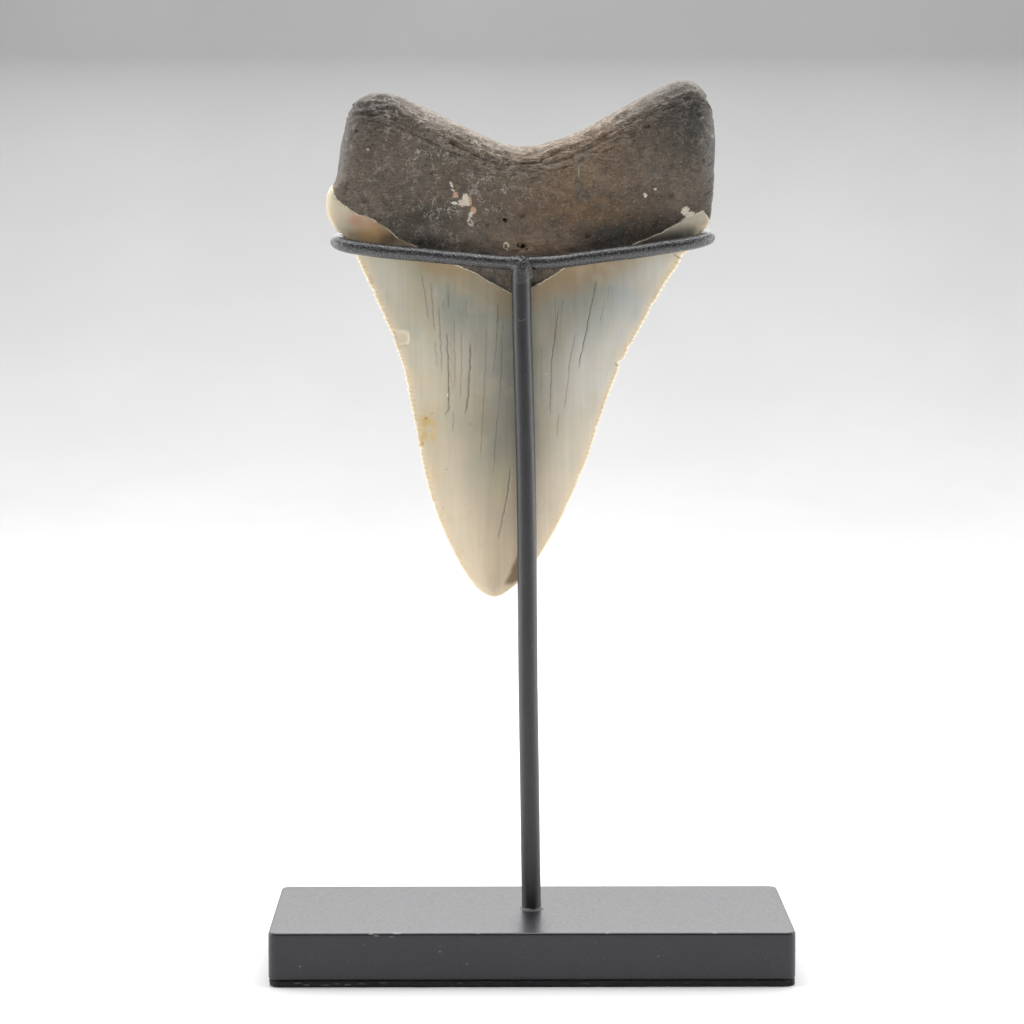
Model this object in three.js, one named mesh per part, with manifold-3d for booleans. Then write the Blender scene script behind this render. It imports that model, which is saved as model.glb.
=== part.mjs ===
// Megalodon tooth on its display stand, built with three.js.
// Millimetres, +Z up. The origin is the centre of the stand's underside.
// The tooth hangs tip down in a wire cradle: flat (labial) face towards -Y, domed (lingual) face towards +Y.

import * as THREE from 'three';
import { mergeVertices } from 'three/addons/utils/BufferGeometryUtils.js';
import Module from 'manifold-3d';

// ---- driving dimensions (mm) ----
const BASE_W = 88;          // along X
const BASE_D = 38;          // along Y
const BASE_T = 8;           // painted block
const BASE_CORNER_R = 1.2;  // upright corners
const BASE_EDGE_R = 0.3;    // broken edges all round
const PAD_T = 1.2;          // foot pad under the block
const PAD_CORNER_R = 2.0;
const POST_D = 3.3;         // rod with its paint
const SEAT_DEPTH = 5.0;     // blind hole that the post stands in
const CLEARANCE = 0.3;      // between neighbouring pieces
const WIRE_D = 2.4;         // cradle wire with its paint
const JOINT_GAP = 0.36;     // between the two ends of the cradle wire

const TIP_Z = 62.87;        // lowest point of the tooth

// Outline of the tooth seen from the front: [z, x] up each side from the tip, then [x, z] across the root's top edge.
const LEFT = [[62.87, -6.3], [63.1, -7.35], [64.03, -8.87], [65.07, -9.88], [66.45, -10.88], [67.83, -11.74], [69.9, -12.88],
  [72, -13.93], [74.7, -15.1], [77.5, -16.22], [80.2, -17.15], [83, -17.88], [86, -18.62], [89, -19.2], [92, -19.66],
  [95.3, -20.34], [98.7, -21.02], [102.1, -21.74], [104.9, -22.66], [107.6, -23.68], [110.3, -24.85], [113, -25.98],
  [115.8, -27.33], [118.5, -28.52], [121.2, -29.83], [123.3, -30.95], [124.2, -31.4], [124.9, -31.9], [125.6, -33.2], [126.8, -34.0],
  [128.1, -34.7], [129.4, -35.05], [130.7, -35.09], [132.1, -34.72], [133.5, -33.98], [134.9, -33.5], [137.6, -33.07],
  [140.3, -32.65], [142.4, -32.25], [144.4, -31.78], [145.77, -31.3], [147.05, -30.55]];
const RIGHT = [[62.87, -6.3], [63.08, -5.26], [63.43, -4.58], [63.91, -3.89], [64.93, -2.51], [66.6, -0.85], [69.2, 1.08],
  [72, 2.8], [74.7, 4.34], [77.5, 5.74], [80.2, 7.0], [83, 8.24], [85.7, 9.32], [88.4, 10.3], [91.2, 11.23],
  [93.9, 12.08], [96.7, 13.0], [99.4, 14.02], [102.1, 15.2], [104.9, 16.55], [107.6, 18.05], [110.3, 19.55],
  [113, 21.0], [115.8, 22.65], [118.5, 24.4], [121.2, 26.35], [123.3, 28.0], [124.6, 28.5], [125.4, 29.05], [126.1, 30.2],
  [126.8, 30.68], [128.1, 31.1], [130.2, 31.28], [132.2, 31.66], [135, 31.76], [138.9, 31.88], [141.7, 31.8],
  [144.4, 31.58], [146.2, 31.15], [147.6, 30.65], [148.5, 30.2]];
const TOP = [[-30.55, 147.05], [-29.86, 147.64], [-29.0, 148.2], [-27.8, 148.74], [-26.43, 148.96], [-25.07, 148.96],
  [-23.7, 148.78], [-22.33, 148.44], [-20.3, 147.6], [-18.23, 146.62], [-15.49, 145.27], [-12.75, 143.9],
  [-10.01, 142.72], [-7.27, 141.4], [-4.53, 140.35], [-1.79, 139.95], [0.95, 140.1], [3.69, 140.85], [6.43, 141.68],
  [9.17, 142.95], [11.91, 144.4], [14.65, 145.9], [17.39, 147.45], [20.12, 148.95], [22.86, 150.26], [24.6, 150.92],
  [26.2, 151.24], [27.4, 151.1], [28.34, 150.6], [29.3, 149.75], [30.2, 148.5]];
const RIM_Y = [[60, 3.6], [80, 4.0], [100, 4.6], [118, 5.3], [124, 5.8], [130, 7.0], [138, 8.6], [156, 9.2]]; // [z, y] of the outline
const FLAT_Y = [[60, 3.2], [66, 2.7], [75, 2.3], [90, 2.1], [108, 2.2], [120, 2.25], [127, 2.15], [134, 1.7], [142, 1.7], [150, 2.4], [156, 3.0]]; // [z, y] of the flat face
const THICK = [[60, 2.0], [62.87, 2.8], [66, 4.0], [72, 5.6], [80, 7.4], [90, 9.4], [100, 11.2], [110, 13.5], [118, 16.0],
  [124, 18.4], [129, 19.7], [134, 19.3], [140, 17.4], [146, 15.6], [156, 14.0]]; // [z, thickness on the midline]

const TOOTH_ROWS = 46;
const TOOTH_COLS = 24;      // quads across each face

// Cradle wire centre line: near arm to the right, round the domed face, and back along the near arm from the left.
const WIRE_PATH = [[-0.62, 0.45, 120.08], [4, 0.45, 120.27], [9, 0.5, 120.93], [14, 0.7, 121.58], [18.5, 1.15, 122.12],
  [22.5, 1.8, 122.75], [26, 2.6, 123.25], [28.5, 3.7, 123.75], [29.95, 5.0, 124.15], [30.33, 6.4, 124.45], [29.35, 8.4, 124.75],
  [26.5, 10.7, 124.8], [22.5, 13.5, 124.4], [18, 16.55, 123.7], [13, 19.1, 123.0], [7, 20.9, 122.4], [0, 21.7, 122.1],
  [-7, 21.35, 122.1], [-13, 19.9, 122.4], [-18, 17.75, 122.85], [-22.5, 15.05, 123.3], [-26.5, 12.2, 123.8],
  [-30, 9.8, 124.05], [-32.3, 8.1, 123.98], [-33.0, 6.3, 123.7], [-32.55, 4.7, 123.35], [-31.0, 3.4, 122.9],
  [-28.3, 2.45, 122.5], [-24.6, 1.75, 122.04], [-20, 1.1, 121.62], [-15, 0.7, 121.15], [-10, 0.5, 120.65],
  [-5, 0.45, 120.2], [-0.62 - JOINT_GAP, 0.45, 120.08]];
const WIRE_STEPS = 104;
const WIRE_SIDES = 12;

// Post centre line from its foot; it leans and bows slightly to the left.
const POST_PATH = [[0.12, 0, 0], [0.12, 0, 9.5], [-0.01, 0, 17], [-0.25, 0, 33.7], [-0.47, 0, 48], [-0.6, 0, 62],
  [-0.72, 0, 77], [-0.98, 0.02, 90], [-1.28, 0.05, 101], [-1.55, 0.1, 111], [-1.68, 0.15, 120.3]];
const POST_STEPS = 30;
const POST_SIDES = 20;

// ---- manifold helpers ----
const wasm = await Module();
wasm.setup();

function toManifold(geometry) {
  const g = geometry.clone();
  g.deleteAttribute('normal');
  g.deleteAttribute('uv');
  const m = mergeVertices(g, 1e-4);
  return new wasm.Manifold(new wasm.Mesh({
    numProp: 3,
    vertProperties: new Float32Array(m.attributes.position.array),
    triVerts: new Uint32Array(m.index.array),
  }));
}

function toGeometry(manifold) {
  const mesh = manifold.getMesh();
  const g = new THREE.BufferGeometry();
  g.setAttribute('position', new THREE.BufferAttribute(new Float32Array(mesh.vertProperties), 3));
  g.setIndex(new THREE.BufferAttribute(new Uint32Array(mesh.triVerts), 1));
  g.computeVertexNormals();
  return g;
}

// Monotone cubic through [x, y] pairs.
function curve(table) {
  const n = table.length;
  const x = table.map((p) => p[0]);
  const y = table.map((p) => p[1]);
  const h = [];
  const d = [];
  for (let i = 0; i < n - 1; i++) {
    h.push(x[i + 1] - x[i]);
    d.push((y[i + 1] - y[i]) / h[i]);
  }
  const m = new Array(n).fill(0);
  m[0] = d[0];
  m[n - 1] = d[n - 2];
  for (let i = 1; i < n - 1; i++) {
    if (d[i - 1] * d[i] > 0) {
      const a = 2 * h[i] + h[i - 1];
      const b = h[i] + 2 * h[i - 1];
      m[i] = (a + b) / (a / d[i - 1] + b / d[i]);
    }
  }
  return (q) => {
    const v = Math.min(Math.max(q, x[0]), x[n - 1]);
    let i = 0;
    while (i < n - 2 && v >= x[i + 1]) i++;
    const t = (v - x[i]) / h[i];
    return y[i] * (1 + 2 * t) * (1 - t) ** 2 + m[i] * h[i] * t * (1 - t) ** 2
      + y[i + 1] * t * t * (3 - 2 * t) + m[i + 1] * h[i] * t * t * (t - 1);
  };
}

const clamp01 = (v) => Math.min(Math.max(v, 0), 1);
const smooth = (a, b, v) => { const u = clamp01((v - a) / (b - a)); return u * u * (3 - 2 * u); };
const round = (u) => { const v = clamp01(u); return Math.sqrt(1 - (1 - v) ** 2); }; // quarter circle

// ---- tooth ----
const rooted = (table) => table.map(([z, x]) => [Math.sqrt(Math.max(z - TIP_Z, 0)), x]);
const leftX = curve(rooted(LEFT));
const rightX = curve(rooted(RIGHT));
const topZ = curve(TOP);
const rimY = curve(RIM_Y);
const flatY = curve(FLAT_Y);
const thick = curve(THICK);
const [ZL, XL] = LEFT[LEFT.length - 1];
const [ZR, XR] = RIGHT[RIGHT.length - 1];

// Point of the outline net: g runs tip to root top, t runs left (-1) to right (1).
function net(g, t) {
  const zl = TIP_Z + (ZL - TIP_Z) * g;
  const zr = TIP_Z + (ZR - TIP_Z) * g;
  const xl = leftX(Math.sqrt(Math.max(zl - TIP_Z, 0)));
  const xr = rightX(Math.sqrt(Math.max(zr - TIP_Z, 0)));
  const k = (1 + t) / 2;
  const sag = topZ(XL + (XR - XL) * k) - (ZL + (ZR - ZL) * k);
  const z = zl + (zr - zl) * k + (smooth(0.3, 1.25, g) / smooth(0.3, 1.25, 1)) * sag;
  return { x: xl + (xr - xl) * k, z, xl, xr, side: (zl + zr) / 2 };
}

function toothPoint(g, t, front) {
  const p = net(g, t);
  const end = net(1, t);
  const w = smooth(125, 134, p.side); // 0 sharp-edged crown, 1 rounded root
  const y = rimY(p.z);
  const dish = 0.5 * Math.exp(-((t / 0.35) ** 2)) * smooth(124, 136, p.z); // shallow hollow in the root's flat side
  const toFlat = y - flatY(p.z) - dish;
  const tip = round((p.z - TIP_Z + 0.02) / 3);
  const dx = Math.min(p.x - p.xl, p.xr - p.x);
  const dz = Math.hypot(end.z - p.z, end.x - p.x);
  if (front) {
    const crown = 1 - Math.abs(t) ** 2.6;
    const root = round(dx / 4) * round(dz / 3.4);
    return [p.x, y - toFlat * tip * ((1 - w) * crown + w * root), p.z];
  }
  const crown = 1 - t * t;
  const root = round(dx / 8) * round(dz / 9) * (1 - 0.25 * t * t);
  return [p.x, y + (thick(p.z) - toFlat) * tip * ((1 - w) * crown + w * root), p.z];
}

function toothGeometry() {
  const heights = [];
  for (let i = 1; i <= TOOTH_ROWS; i++) {
    const s = i / TOOTH_ROWS;
    const even = s * s / (s + 0.16 * (1 - s));
    heights.push(even + 0.03 * Math.sin(2 * Math.PI * Math.max(0, (s - 0.75) / 0.25) / 2) ** 2 * s); // closer rows at the root's rim
  }
  heights[TOOTH_ROWS - 1] = 1;
  const across = [];
  for (let j = 0; j <= TOOTH_COLS; j++) {
    const u = -1 + 2 * j / TOOTH_COLS;
    across.push(0.55 * Math.sin(u * Math.PI / 2) + 0.45 * u);
  }
  const positions = [];
  const index = [];
  const put = (p) => positions.push(...p) / 3 - 1;
  const pole = put([net(0, 0).x, rimY(TIP_Z), TIP_Z]);
  const loop = 2 * TOOTH_COLS;
  const rings = heights.map((g) => {
    const ids = [];
    const last = g === 1;
    for (let j = 0; j <= TOOTH_COLS; j++) ids.push(put(toothPoint(g, across[j], true)));
    for (let j = TOOTH_COLS - 1; j > 0; j--) ids.push(last ? ids[j] : put(toothPoint(g, across[j], false)));
    return ids;
  });
  for (let j = 0; j < loop; j++) index.push(pole, rings[0][(j + 1) % loop], rings[0][j]);
  for (let r = 1; r < rings.length; r++) {
    for (let j = 0; j < loop; j++) {
      const k = (j + 1) % loop;
      const [a, b, c, d] = [rings[r - 1][j], rings[r - 1][k], rings[r][k], rings[r][j]];
      if (a !== b && b !== c && a !== c) index.push(a, b, c);
      if (a !== c && c !== d && a !== d) index.push(a, c, d);
    }
  }
  const g = new THREE.BufferGeometry();
  g.setAttribute('position', new THREE.BufferAttribute(new Float32Array(positions), 3));
  g.setIndex(index);
  g.computeVertexNormals();
  return g;
}

// ---- closed round bar along an open path ----
function bar(points, radius, steps, sides) {
  const path = new THREE.CatmullRomCurve3(points.map((p) => new THREE.Vector3(...p)), false, 'centripetal');
  const side = new THREE.Vector3();
  const lift = new THREE.Vector3();
  const reference = Math.abs(path.getTangentAt(0.5).z) > 0.9 ? new THREE.Vector3(0, 1, 0) : new THREE.Vector3(0, 0, 1);
  const positions = [];
  const index = [];
  for (let i = 0; i <= steps; i++) {
    const centre = path.getPointAt(i / steps);
    const tangent = path.getTangentAt(i / steps);
    side.crossVectors(tangent, reference).normalize();
    lift.crossVectors(side, tangent).normalize();
    for (let j = 0; j < sides; j++) {
      const a = 2 * Math.PI * j / sides;
      const p = centre.clone().addScaledVector(side, radius * Math.cos(a)).addScaledVector(lift, radius * Math.sin(a));
      positions.push(p.x, p.y, p.z);
    }
  }
  for (let i = 0; i < steps; i++) {
    for (let j = 0; j < sides; j++) {
      const k = (j + 1) % sides;
      const [a, b, c, d] = [i * sides + j, i * sides + k, (i + 1) * sides + k, (i + 1) * sides + j];
      index.push(a, c, b, a, d, c);
    }
  }
  for (const [row, flip] of [[0, false], [steps, true]]) {
    for (let j = 1; j < sides - 1; j++) {
      const [a, b, c] = [row * sides, row * sides + j, row * sides + j + 1];
      index.push(...(flip ? [a, c, b] : [a, b, c]));
    }
  }
  const g = new THREE.BufferGeometry();
  g.setAttribute('position', new THREE.BufferAttribute(new Float32Array(positions), 3));
  g.setIndex(index);
  g.computeVertexNormals();
  return g;
}

// ---- block with rounded upright corners and broken edges ----
function roundedBlock(w, d, t, corner, edge) {
  const [x, y, r] = [w / 2 - edge, d / 2 - edge, Math.max(corner - edge, 0.05)];
  const s = new THREE.Shape();
  s.moveTo(-x + r, -y);
  s.lineTo(x - r, -y);
  s.absarc(x - r, -y + r, r, -Math.PI / 2, 0, false);
  s.lineTo(x, y - r);
  s.absarc(x - r, y - r, r, 0, Math.PI / 2, false);
  s.lineTo(-x + r, y);
  s.absarc(-x + r, y - r, r, Math.PI / 2, Math.PI, false);
  s.lineTo(-x, -y + r);
  s.absarc(-x + r, -y + r, r, Math.PI, 1.5 * Math.PI, false);
  const g = new THREE.ExtrudeGeometry(s, {
    depth: t - 2 * edge, bevelEnabled: true, bevelThickness: edge, bevelSize: edge, bevelSegments: 2, curveSegments: 5,
  });
  g.translate(0, 0, edge);
  return g;
}

// ---- assembly ----
const post = toManifold(bar(POST_PATH.map((p, i) => (i === 0 ? [p[0], p[1], PAD_T + BASE_T - SEAT_DEPTH + CLEARANCE] : p)),
  POST_D / 2, POST_STEPS, POST_SIDES));
const wireRoom = toManifold(bar([[-12, 0.5, 120.85], [-5, 0.45, 120.2], [-0.8, 0.45, 120.08], [4, 0.45, 120.27], [10, 0.5, 121.1]],
  WIRE_D / 2 + CLEARANCE, 12, 24));
const above = new THREE.BoxGeometry(12, 12, 6).translate(-1.7, 0, 123); // whatever stands over the wire's middle
const postGeometry = toGeometry(post.subtract(wireRoom).subtract(toManifold(above)));

const seat = new THREE.CylinderGeometry(POST_D / 2 + CLEARANCE, POST_D / 2 + CLEARANCE, SEAT_DEPTH + 1, 28)
  .rotateX(Math.PI / 2).translate(0.12, 0, PAD_T + BASE_T + 0.5 - SEAT_DEPTH / 2);
const block = roundedBlock(BASE_W, BASE_D, BASE_T, BASE_CORNER_R, BASE_EDGE_R).translate(0, 0, PAD_T);
const baseGeometry = toGeometry(toManifold(block).subtract(toManifold(seat)));
const padGeometry = roundedBlock(BASE_W, BASE_D, PAD_T, PAD_CORNER_R, 0.25);

const part = new THREE.Group();
part.name = 'megalodon_tooth_on_stand';

function add(name, geometry, color, roughness, metalness) {
  const mesh = new THREE.Mesh(geometry, new THREE.MeshStandardMaterial({ color, roughness, metalness }));
  mesh.name = name;
  mesh.material.name = name;
  part.add(mesh);
}

add('megalodon_tooth', toothGeometry(), 0xa8a08c, 0.55, 0);
add('cradle_ring', bar(WIRE_PATH, WIRE_D / 2, WIRE_STEPS, WIRE_SIDES), 0x2b2b2c, 0.6, 0.3);
add('post', postGeometry, 0x3a3a3c, 0.55, 0.3);
add('base_block', baseGeometry, 0x3c3c3f, 0.6, 0.3);
add('foot_pad', padGeometry, 0x1d1d1e, 0.85, 0);

export default part;
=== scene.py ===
import math

import bmesh
import bpy
import numpy as np
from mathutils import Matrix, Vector


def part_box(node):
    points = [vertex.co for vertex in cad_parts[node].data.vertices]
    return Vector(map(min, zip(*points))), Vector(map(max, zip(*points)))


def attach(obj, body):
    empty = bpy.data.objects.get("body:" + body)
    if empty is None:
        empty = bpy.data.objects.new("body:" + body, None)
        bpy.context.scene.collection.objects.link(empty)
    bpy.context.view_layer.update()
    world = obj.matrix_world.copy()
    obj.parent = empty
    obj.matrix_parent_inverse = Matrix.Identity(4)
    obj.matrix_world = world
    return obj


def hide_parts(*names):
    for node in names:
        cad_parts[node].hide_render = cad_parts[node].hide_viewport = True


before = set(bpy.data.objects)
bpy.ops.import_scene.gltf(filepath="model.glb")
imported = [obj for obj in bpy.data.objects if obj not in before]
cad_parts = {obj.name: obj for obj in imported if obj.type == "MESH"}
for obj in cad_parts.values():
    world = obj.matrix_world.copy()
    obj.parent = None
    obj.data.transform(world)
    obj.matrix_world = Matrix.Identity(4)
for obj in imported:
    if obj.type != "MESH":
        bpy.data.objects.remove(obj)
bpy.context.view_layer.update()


MM = 0.001

# ------------------------------------------------------------------ numbers shared with the CAD part (mm)
TIP_Z = 62.87
LEFT = [(62.87, -6.3), (63.1, -7.35), (64.03, -8.87), (65.07, -9.88), (66.45, -10.88), (67.83, -11.74), (69.9, -12.88),
        (72, -13.93), (74.7, -15.1), (77.5, -16.22), (80.2, -17.15), (83, -17.88), (86, -18.62), (89, -19.2), (92, -19.66),
        (95.3, -20.34), (98.7, -21.02), (102.1, -21.74), (104.9, -22.66), (107.6, -23.68), (110.3, -24.85), (113, -25.98),
        (115.8, -27.33), (118.5, -28.52), (121.2, -29.83), (123.3, -30.95), (124.2, -31.4), (124.9, -31.9), (125.6, -33.2),
        (126.8, -34.0), (128.1, -34.7), (129.4, -35.05), (130.7, -35.09), (132.1, -34.72), (133.5, -33.98), (134.9, -33.5),
        (137.6, -33.07), (140.3, -32.65), (142.4, -32.25), (144.4, -31.78), (145.77, -31.3), (147.05, -30.55)]
RIGHT = [(62.87, -6.3), (63.08, -5.26), (63.43, -4.58), (63.91, -3.89), (64.93, -2.51), (66.6, -0.85), (69.2, 1.08),
         (72, 2.8), (74.7, 4.34), (77.5, 5.74), (80.2, 7.0), (83, 8.24), (85.7, 9.32), (88.4, 10.3), (91.2, 11.23),
         (93.9, 12.08), (96.7, 13.0), (99.4, 14.02), (102.1, 15.2), (104.9, 16.55), (107.6, 18.05), (110.3, 19.55),
         (113, 21.0), (115.8, 22.65), (118.5, 24.4), (121.2, 26.35), (123.3, 28.0), (124.6, 28.5), (125.4, 29.05),
         (126.1, 30.2), (126.8, 30.68), (128.1, 31.1), (130.2, 31.28), (132.2, 31.66), (135, 31.76), (138.9, 31.88),
         (141.7, 31.8), (144.4, 31.58), (146.2, 31.15), (147.6, 30.65), (148.5, 30.2)]
TOP = [(-30.55, 147.05), (-29.86, 147.64), (-29.0, 148.2), (-27.8, 148.74), (-26.43, 148.96), (-25.07, 148.96),
       (-23.7, 148.78), (-22.33, 148.44), (-20.3, 147.6), (-18.23, 146.62), (-15.49, 145.27), (-12.75, 143.9),
       (-10.01, 142.72), (-7.27, 141.4), (-4.53, 140.35), (-1.79, 139.95), (0.95, 140.1), (3.69, 140.85), (6.43, 141.68),
       (9.17, 142.95), (11.91, 144.4), (14.65, 145.9), (17.39, 147.45), (20.12, 148.95), (22.86, 150.26), (24.6, 150.92),
       (26.2, 151.24), (27.4, 151.1), (28.34, 150.6), (29.3, 149.75), (30.2, 148.5)]
RIM_Y = [(60, 3.6), (80, 4.0), (100, 4.6), (118, 5.3), (124, 5.8), (130, 7.0), (138, 8.6), (156, 9.2)]
FLAT_Y = [(60, 3.2), (66, 2.7), (75, 2.3), (90, 2.1), (108, 2.2), (120, 2.25), (127, 2.15), (134, 1.7), (142, 1.7),
          (150, 2.4), (156, 3.0)]
THICK = [(60, 2.0), (62.87, 2.8), (66, 4.0), (72, 5.6), (80, 7.4), (90, 9.4), (100, 11.2), (110, 13.5), (118, 16.0),
         (124, 18.4), (129, 19.7), (134, 19.3), (140, 17.4), (146, 15.6), (156, 14.0)]
WIRE = [(-0.62, 0.45, 120.08), (4, 0.45, 120.27), (9, 0.5, 120.93), (14, 0.7, 121.58), (18.5, 1.15, 122.12),
        (22.5, 1.8, 122.75), (26, 2.6, 123.25), (28.5, 3.7, 123.75), (29.95, 5.0, 124.15), (30.33, 6.4, 124.45),
        (29.35, 8.4, 124.75), (26.5, 10.7, 124.8), (22.5, 13.5, 124.4), (18, 16.55, 123.7), (13, 19.1, 123.0),
        (7, 20.9, 122.4), (0, 21.7, 122.1), (-7, 21.35, 122.1), (-13, 19.9, 122.4), (-18, 17.75, 122.85),
        (-22.5, 15.05, 123.3), (-26.5, 12.2, 123.8), (-30, 9.8, 124.05), (-32.3, 8.1, 123.98), (-33.0, 6.3, 123.7),
        (-32.55, 4.7, 123.35), (-31.0, 3.4, 122.9), (-28.3, 2.45, 122.5), (-24.6, 1.75, 122.04), (-20, 1.1, 121.62),
        (-15, 0.7, 121.15), (-10, 0.5, 120.65), (-5, 0.45, 120.2), (-0.98, 0.45, 120.08)]
POST = [(0.12, 0, 4.6), (0.12, 0, 9.5), (-0.01, 0, 17), (-0.25, 0, 33.7), (-0.47, 0, 48), (-0.6, 0, 62),
        (-0.72, 0, 77), (-0.98, 0.02, 90), (-1.28, 0.05, 101), (-1.55, 0.1, 111), (-1.67, 0.15, 118.6)]
WIRE_R, POST_R = 1.2, 1.65

# Where the root meets the enamel, [x, z] from left to right: flat face, then domed face.
LABIAL = [(-33.9, 133.3), (-33.44, 131.71), (-32.98, 130.82), (-31.99, 129.96), (-30.78, 129.25), (-29.32, 128.3),
          (-28.12, 128.18), (-26.56, 127.23), (-24.75, 126.16), (-23.56, 125.33), (-22.61, 124.38), (-21.18, 123.66),
          (-19.68, 123.01), (-17.14, 121.93), (-14.59, 120.75), (-12.04, 119.51), (-9.67, 118.56), (-8.31, 117.7),
          (-6.81, 116.9), (-5.25, 116.0), (-3.46, 115.0), (-2.19, 114.48), (-1.17, 115.07), (0.1, 115.95), (2.74, 117.38),
          (5.59, 119.27), (8.35, 120.58), (11.75, 121.68), (14.3, 122.35), (17.03, 123.08), (20.27, 124.47),
          (22.43, 125.33), (24.25, 126.33), (25.59, 127.11), (26.56, 128.06), (27.51, 128.28), (28.73, 128.54),
          (29.37, 129.02), (29.96, 128.29), (30.74, 127.29), (31.6, 126.6)]
LINGUAL = [(-33.9, 133.3), (-31, 129.6), (-26, 125.4), (-19, 120.6), (-12, 116.4), (-6, 113.0), (-2, 111.6), (2, 112.7),
           (8, 116.2), (15, 120.6), (22, 124.8), (27, 127.4), (31.6, 127.2)]
CRACKS = [  # strength, [x, z] points, flat face
    (0.55, [(-18.5, 118.04), (-18.0, 115.15), (-17.3, 110.6)]),
    (0.60, [(-16.98, 117.02), (-16.65, 112.78), (-16.32, 108.36)]),
    (0.55, [(-15.63, 113.12), (-15.3, 107.0), (-15.14, 101.38)]),
    (1.00, [(-14.27, 108.36), (-14.06, 101.89), (-13.96, 95.24), (-14.64, 94.04)]),
    (0.46, [(-12.91, 110.91), (-13.0, 107.0), (-12.92, 103.08), (-13.0, 98.6)]),
    (1.00, [(-10.28, 107.0), (-10.33, 102.74), (-10.54, 98.82), (-11.16, 94.21)]),
    (0.42, [(-11.8, 108.6), (-11.75, 101.9), (-12.0, 97.0)]),
    (0.45, [(-7.46, 110.06), (-7.64, 103.08), (-8.16, 93.53), (-8.51, 86.51)]),
    (0.40, [(-4.57, 111.76), (-5.08, 99.67), (-5.94, 90.1), (-6.37, 83.42)]),
    (0.50, [(-5.49, 113.45), (-5.76, 106.66)]),
    (0.72, [(-3.38, 85.31), (-3.81, 81.36), (-4.41, 78.28), (-5.61, 72.95)]),
    (0.50, [(-13.1, 94.89), (-13.28, 91.31)]),
    (0.66, [(4.75, 113.1), (4.45, 110.4), (3.78, 106.14), (3.44, 103.08), (3.27, 98.47), (3.28, 94.03)]),
    (0.90, [(11.2, 117.5), (10.6, 114.6), (10.1, 112.3), (9.73, 110.05), (8.89, 105.97), (8.04, 101.88)]),
    (0.55, [(7.52, 108.35), (6.51, 102.74), (5.67, 95.23)]),
    (0.45, [(4.73, 94.37), (4.31, 90.44)]),
    (0.35, [(-9.17, 108.7), (-9.34, 104.95)]),
    (0.35, [(-11.03, 113.8), (-10.87, 110.74)]),
    (0.30, [(1.73, 106.14), (1.57, 98.13)]),
    (0.40, [(12.44, 113.79), (11.77, 110.05)]),
    (0.35, [(5.47, 113.79), (5.13, 111.07)]),
    (0.35, [(-16.3, 107.1), (-16.1, 104.8), (-15.9, 102.3)]),
    (0.35, [(-13.95, 115.1), (-13.9, 112.3)]),
    (0.40, [(-5.7, 113.4), (-5.4, 109.9), (-6.4, 101.2)]),
    (0.80, [(24.32, 121.68), (25.35, 120.91), (26.03, 120.66)]),
    (0.80, [(14.3, 103.05), (15.2, 102.4)]),
]
rng = np.random.default_rng(575)


# ------------------------------------------------------------------ small maths kit
def pchip(tab):
    x = np.array([a for a, b in tab], float)
    y = np.array([b for a, b in tab], float)
    h = np.diff(x)
    d = np.diff(y) / h
    m = np.zeros_like(y)
    for i in range(1, len(x) - 1):
        if d[i - 1] * d[i] > 0:
            a, b = 2 * h[i] + h[i - 1], h[i] + 2 * h[i - 1]
            m[i] = (a + b) / (a / d[i - 1] + b / d[i])
    m[0], m[-1] = d[0], d[-1]

    def f(q):
        q = np.clip(q, x[0], x[-1])
        i = np.clip(np.searchsorted(x, q, side="right") - 1, 0, len(h) - 1)
        t = (q - x[i]) / h[i]
        return (y[i] * (1 + 2 * t) * (1 - t) ** 2 + m[i] * h[i] * t * (1 - t) ** 2
                + y[i + 1] * t * t * (3 - 2 * t) + m[i + 1] * h[i] * t * t * (t - 1))
    return f


def smooth(a, b, v):
    u = np.clip((v - a) / (b - a), 0, 1)
    return u * u * (3 - 2 * u)


def quarter(u):
    u = np.clip(u, 0, 1)
    return np.sqrt(1 - (1 - u) ** 2)


def lattice(ix, iy, iz, seed):
    h = (ix.astype(np.int64) * 374761393 + iy.astype(np.int64) * 668265263 + iz.astype(np.int64) * 1440662683
         + seed * 974634777) & 0xFFFFFFFF
    h = ((h ^ (h >> 13)) * 1274126177) & 0xFFFFFFFF
    h = h ^ (h >> 16)
    return (h & 0xFFFF) / 65535.0


def noise(p, seed=0):
    """Smooth value noise, -1 to 1. p is (..., 3), one cell to the unit."""
    b = np.floor(p)
    f = p - b
    f = f * f * f * (f * (f * 6 - 15) + 10)
    ix, iy, iz = (b[..., k].astype(np.int64) for k in range(3))
    fx, fy, fz = (f[..., k] for k in range(3))
    out = 0
    for dx in (0, 1):
        for dy in (0, 1):
            for dz in (0, 1):
                w = (fx if dx else 1 - fx) * (fy if dy else 1 - fy) * (fz if dz else 1 - fz)
                out = out + w * lattice(ix + dx, iy + dy, iz + dz, seed)
    return out * 2 - 1


def fbm(p, octaves=4, seed=0, gain=0.5):
    total, amp, norm = 0, 1.0, 0.0
    for k in range(octaves):
        total = total + amp * noise(p * 2.03 ** k + 17.3 * k, seed + k)
        norm += amp
        amp *= gain
    return total / norm


def cells(p, seed=0):
    """Distance to the nearest scattered point, and that point's own random number."""
    b = np.floor(p).astype(np.int64)
    best = np.full(p.shape[:-1], 9.0)
    own = np.zeros(p.shape[:-1])
    for dx in (-1, 0, 1):
        for dy in (-1, 0, 1):
            for dz in (-1, 0, 1):
                c = b + np.array([dx, dy, dz])
                q = np.stack([lattice(c[..., 0], c[..., 1], c[..., 2], seed + s) for s in (1, 2, 3)], -1) + c
                d = np.linalg.norm(q - p, axis=-1)
                r = lattice(c[..., 0], c[..., 1], c[..., 2], seed + 4)
                hit = d < best
                best = np.where(hit, d, best)
                own = np.where(hit, r, own)
    return best, own


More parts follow.
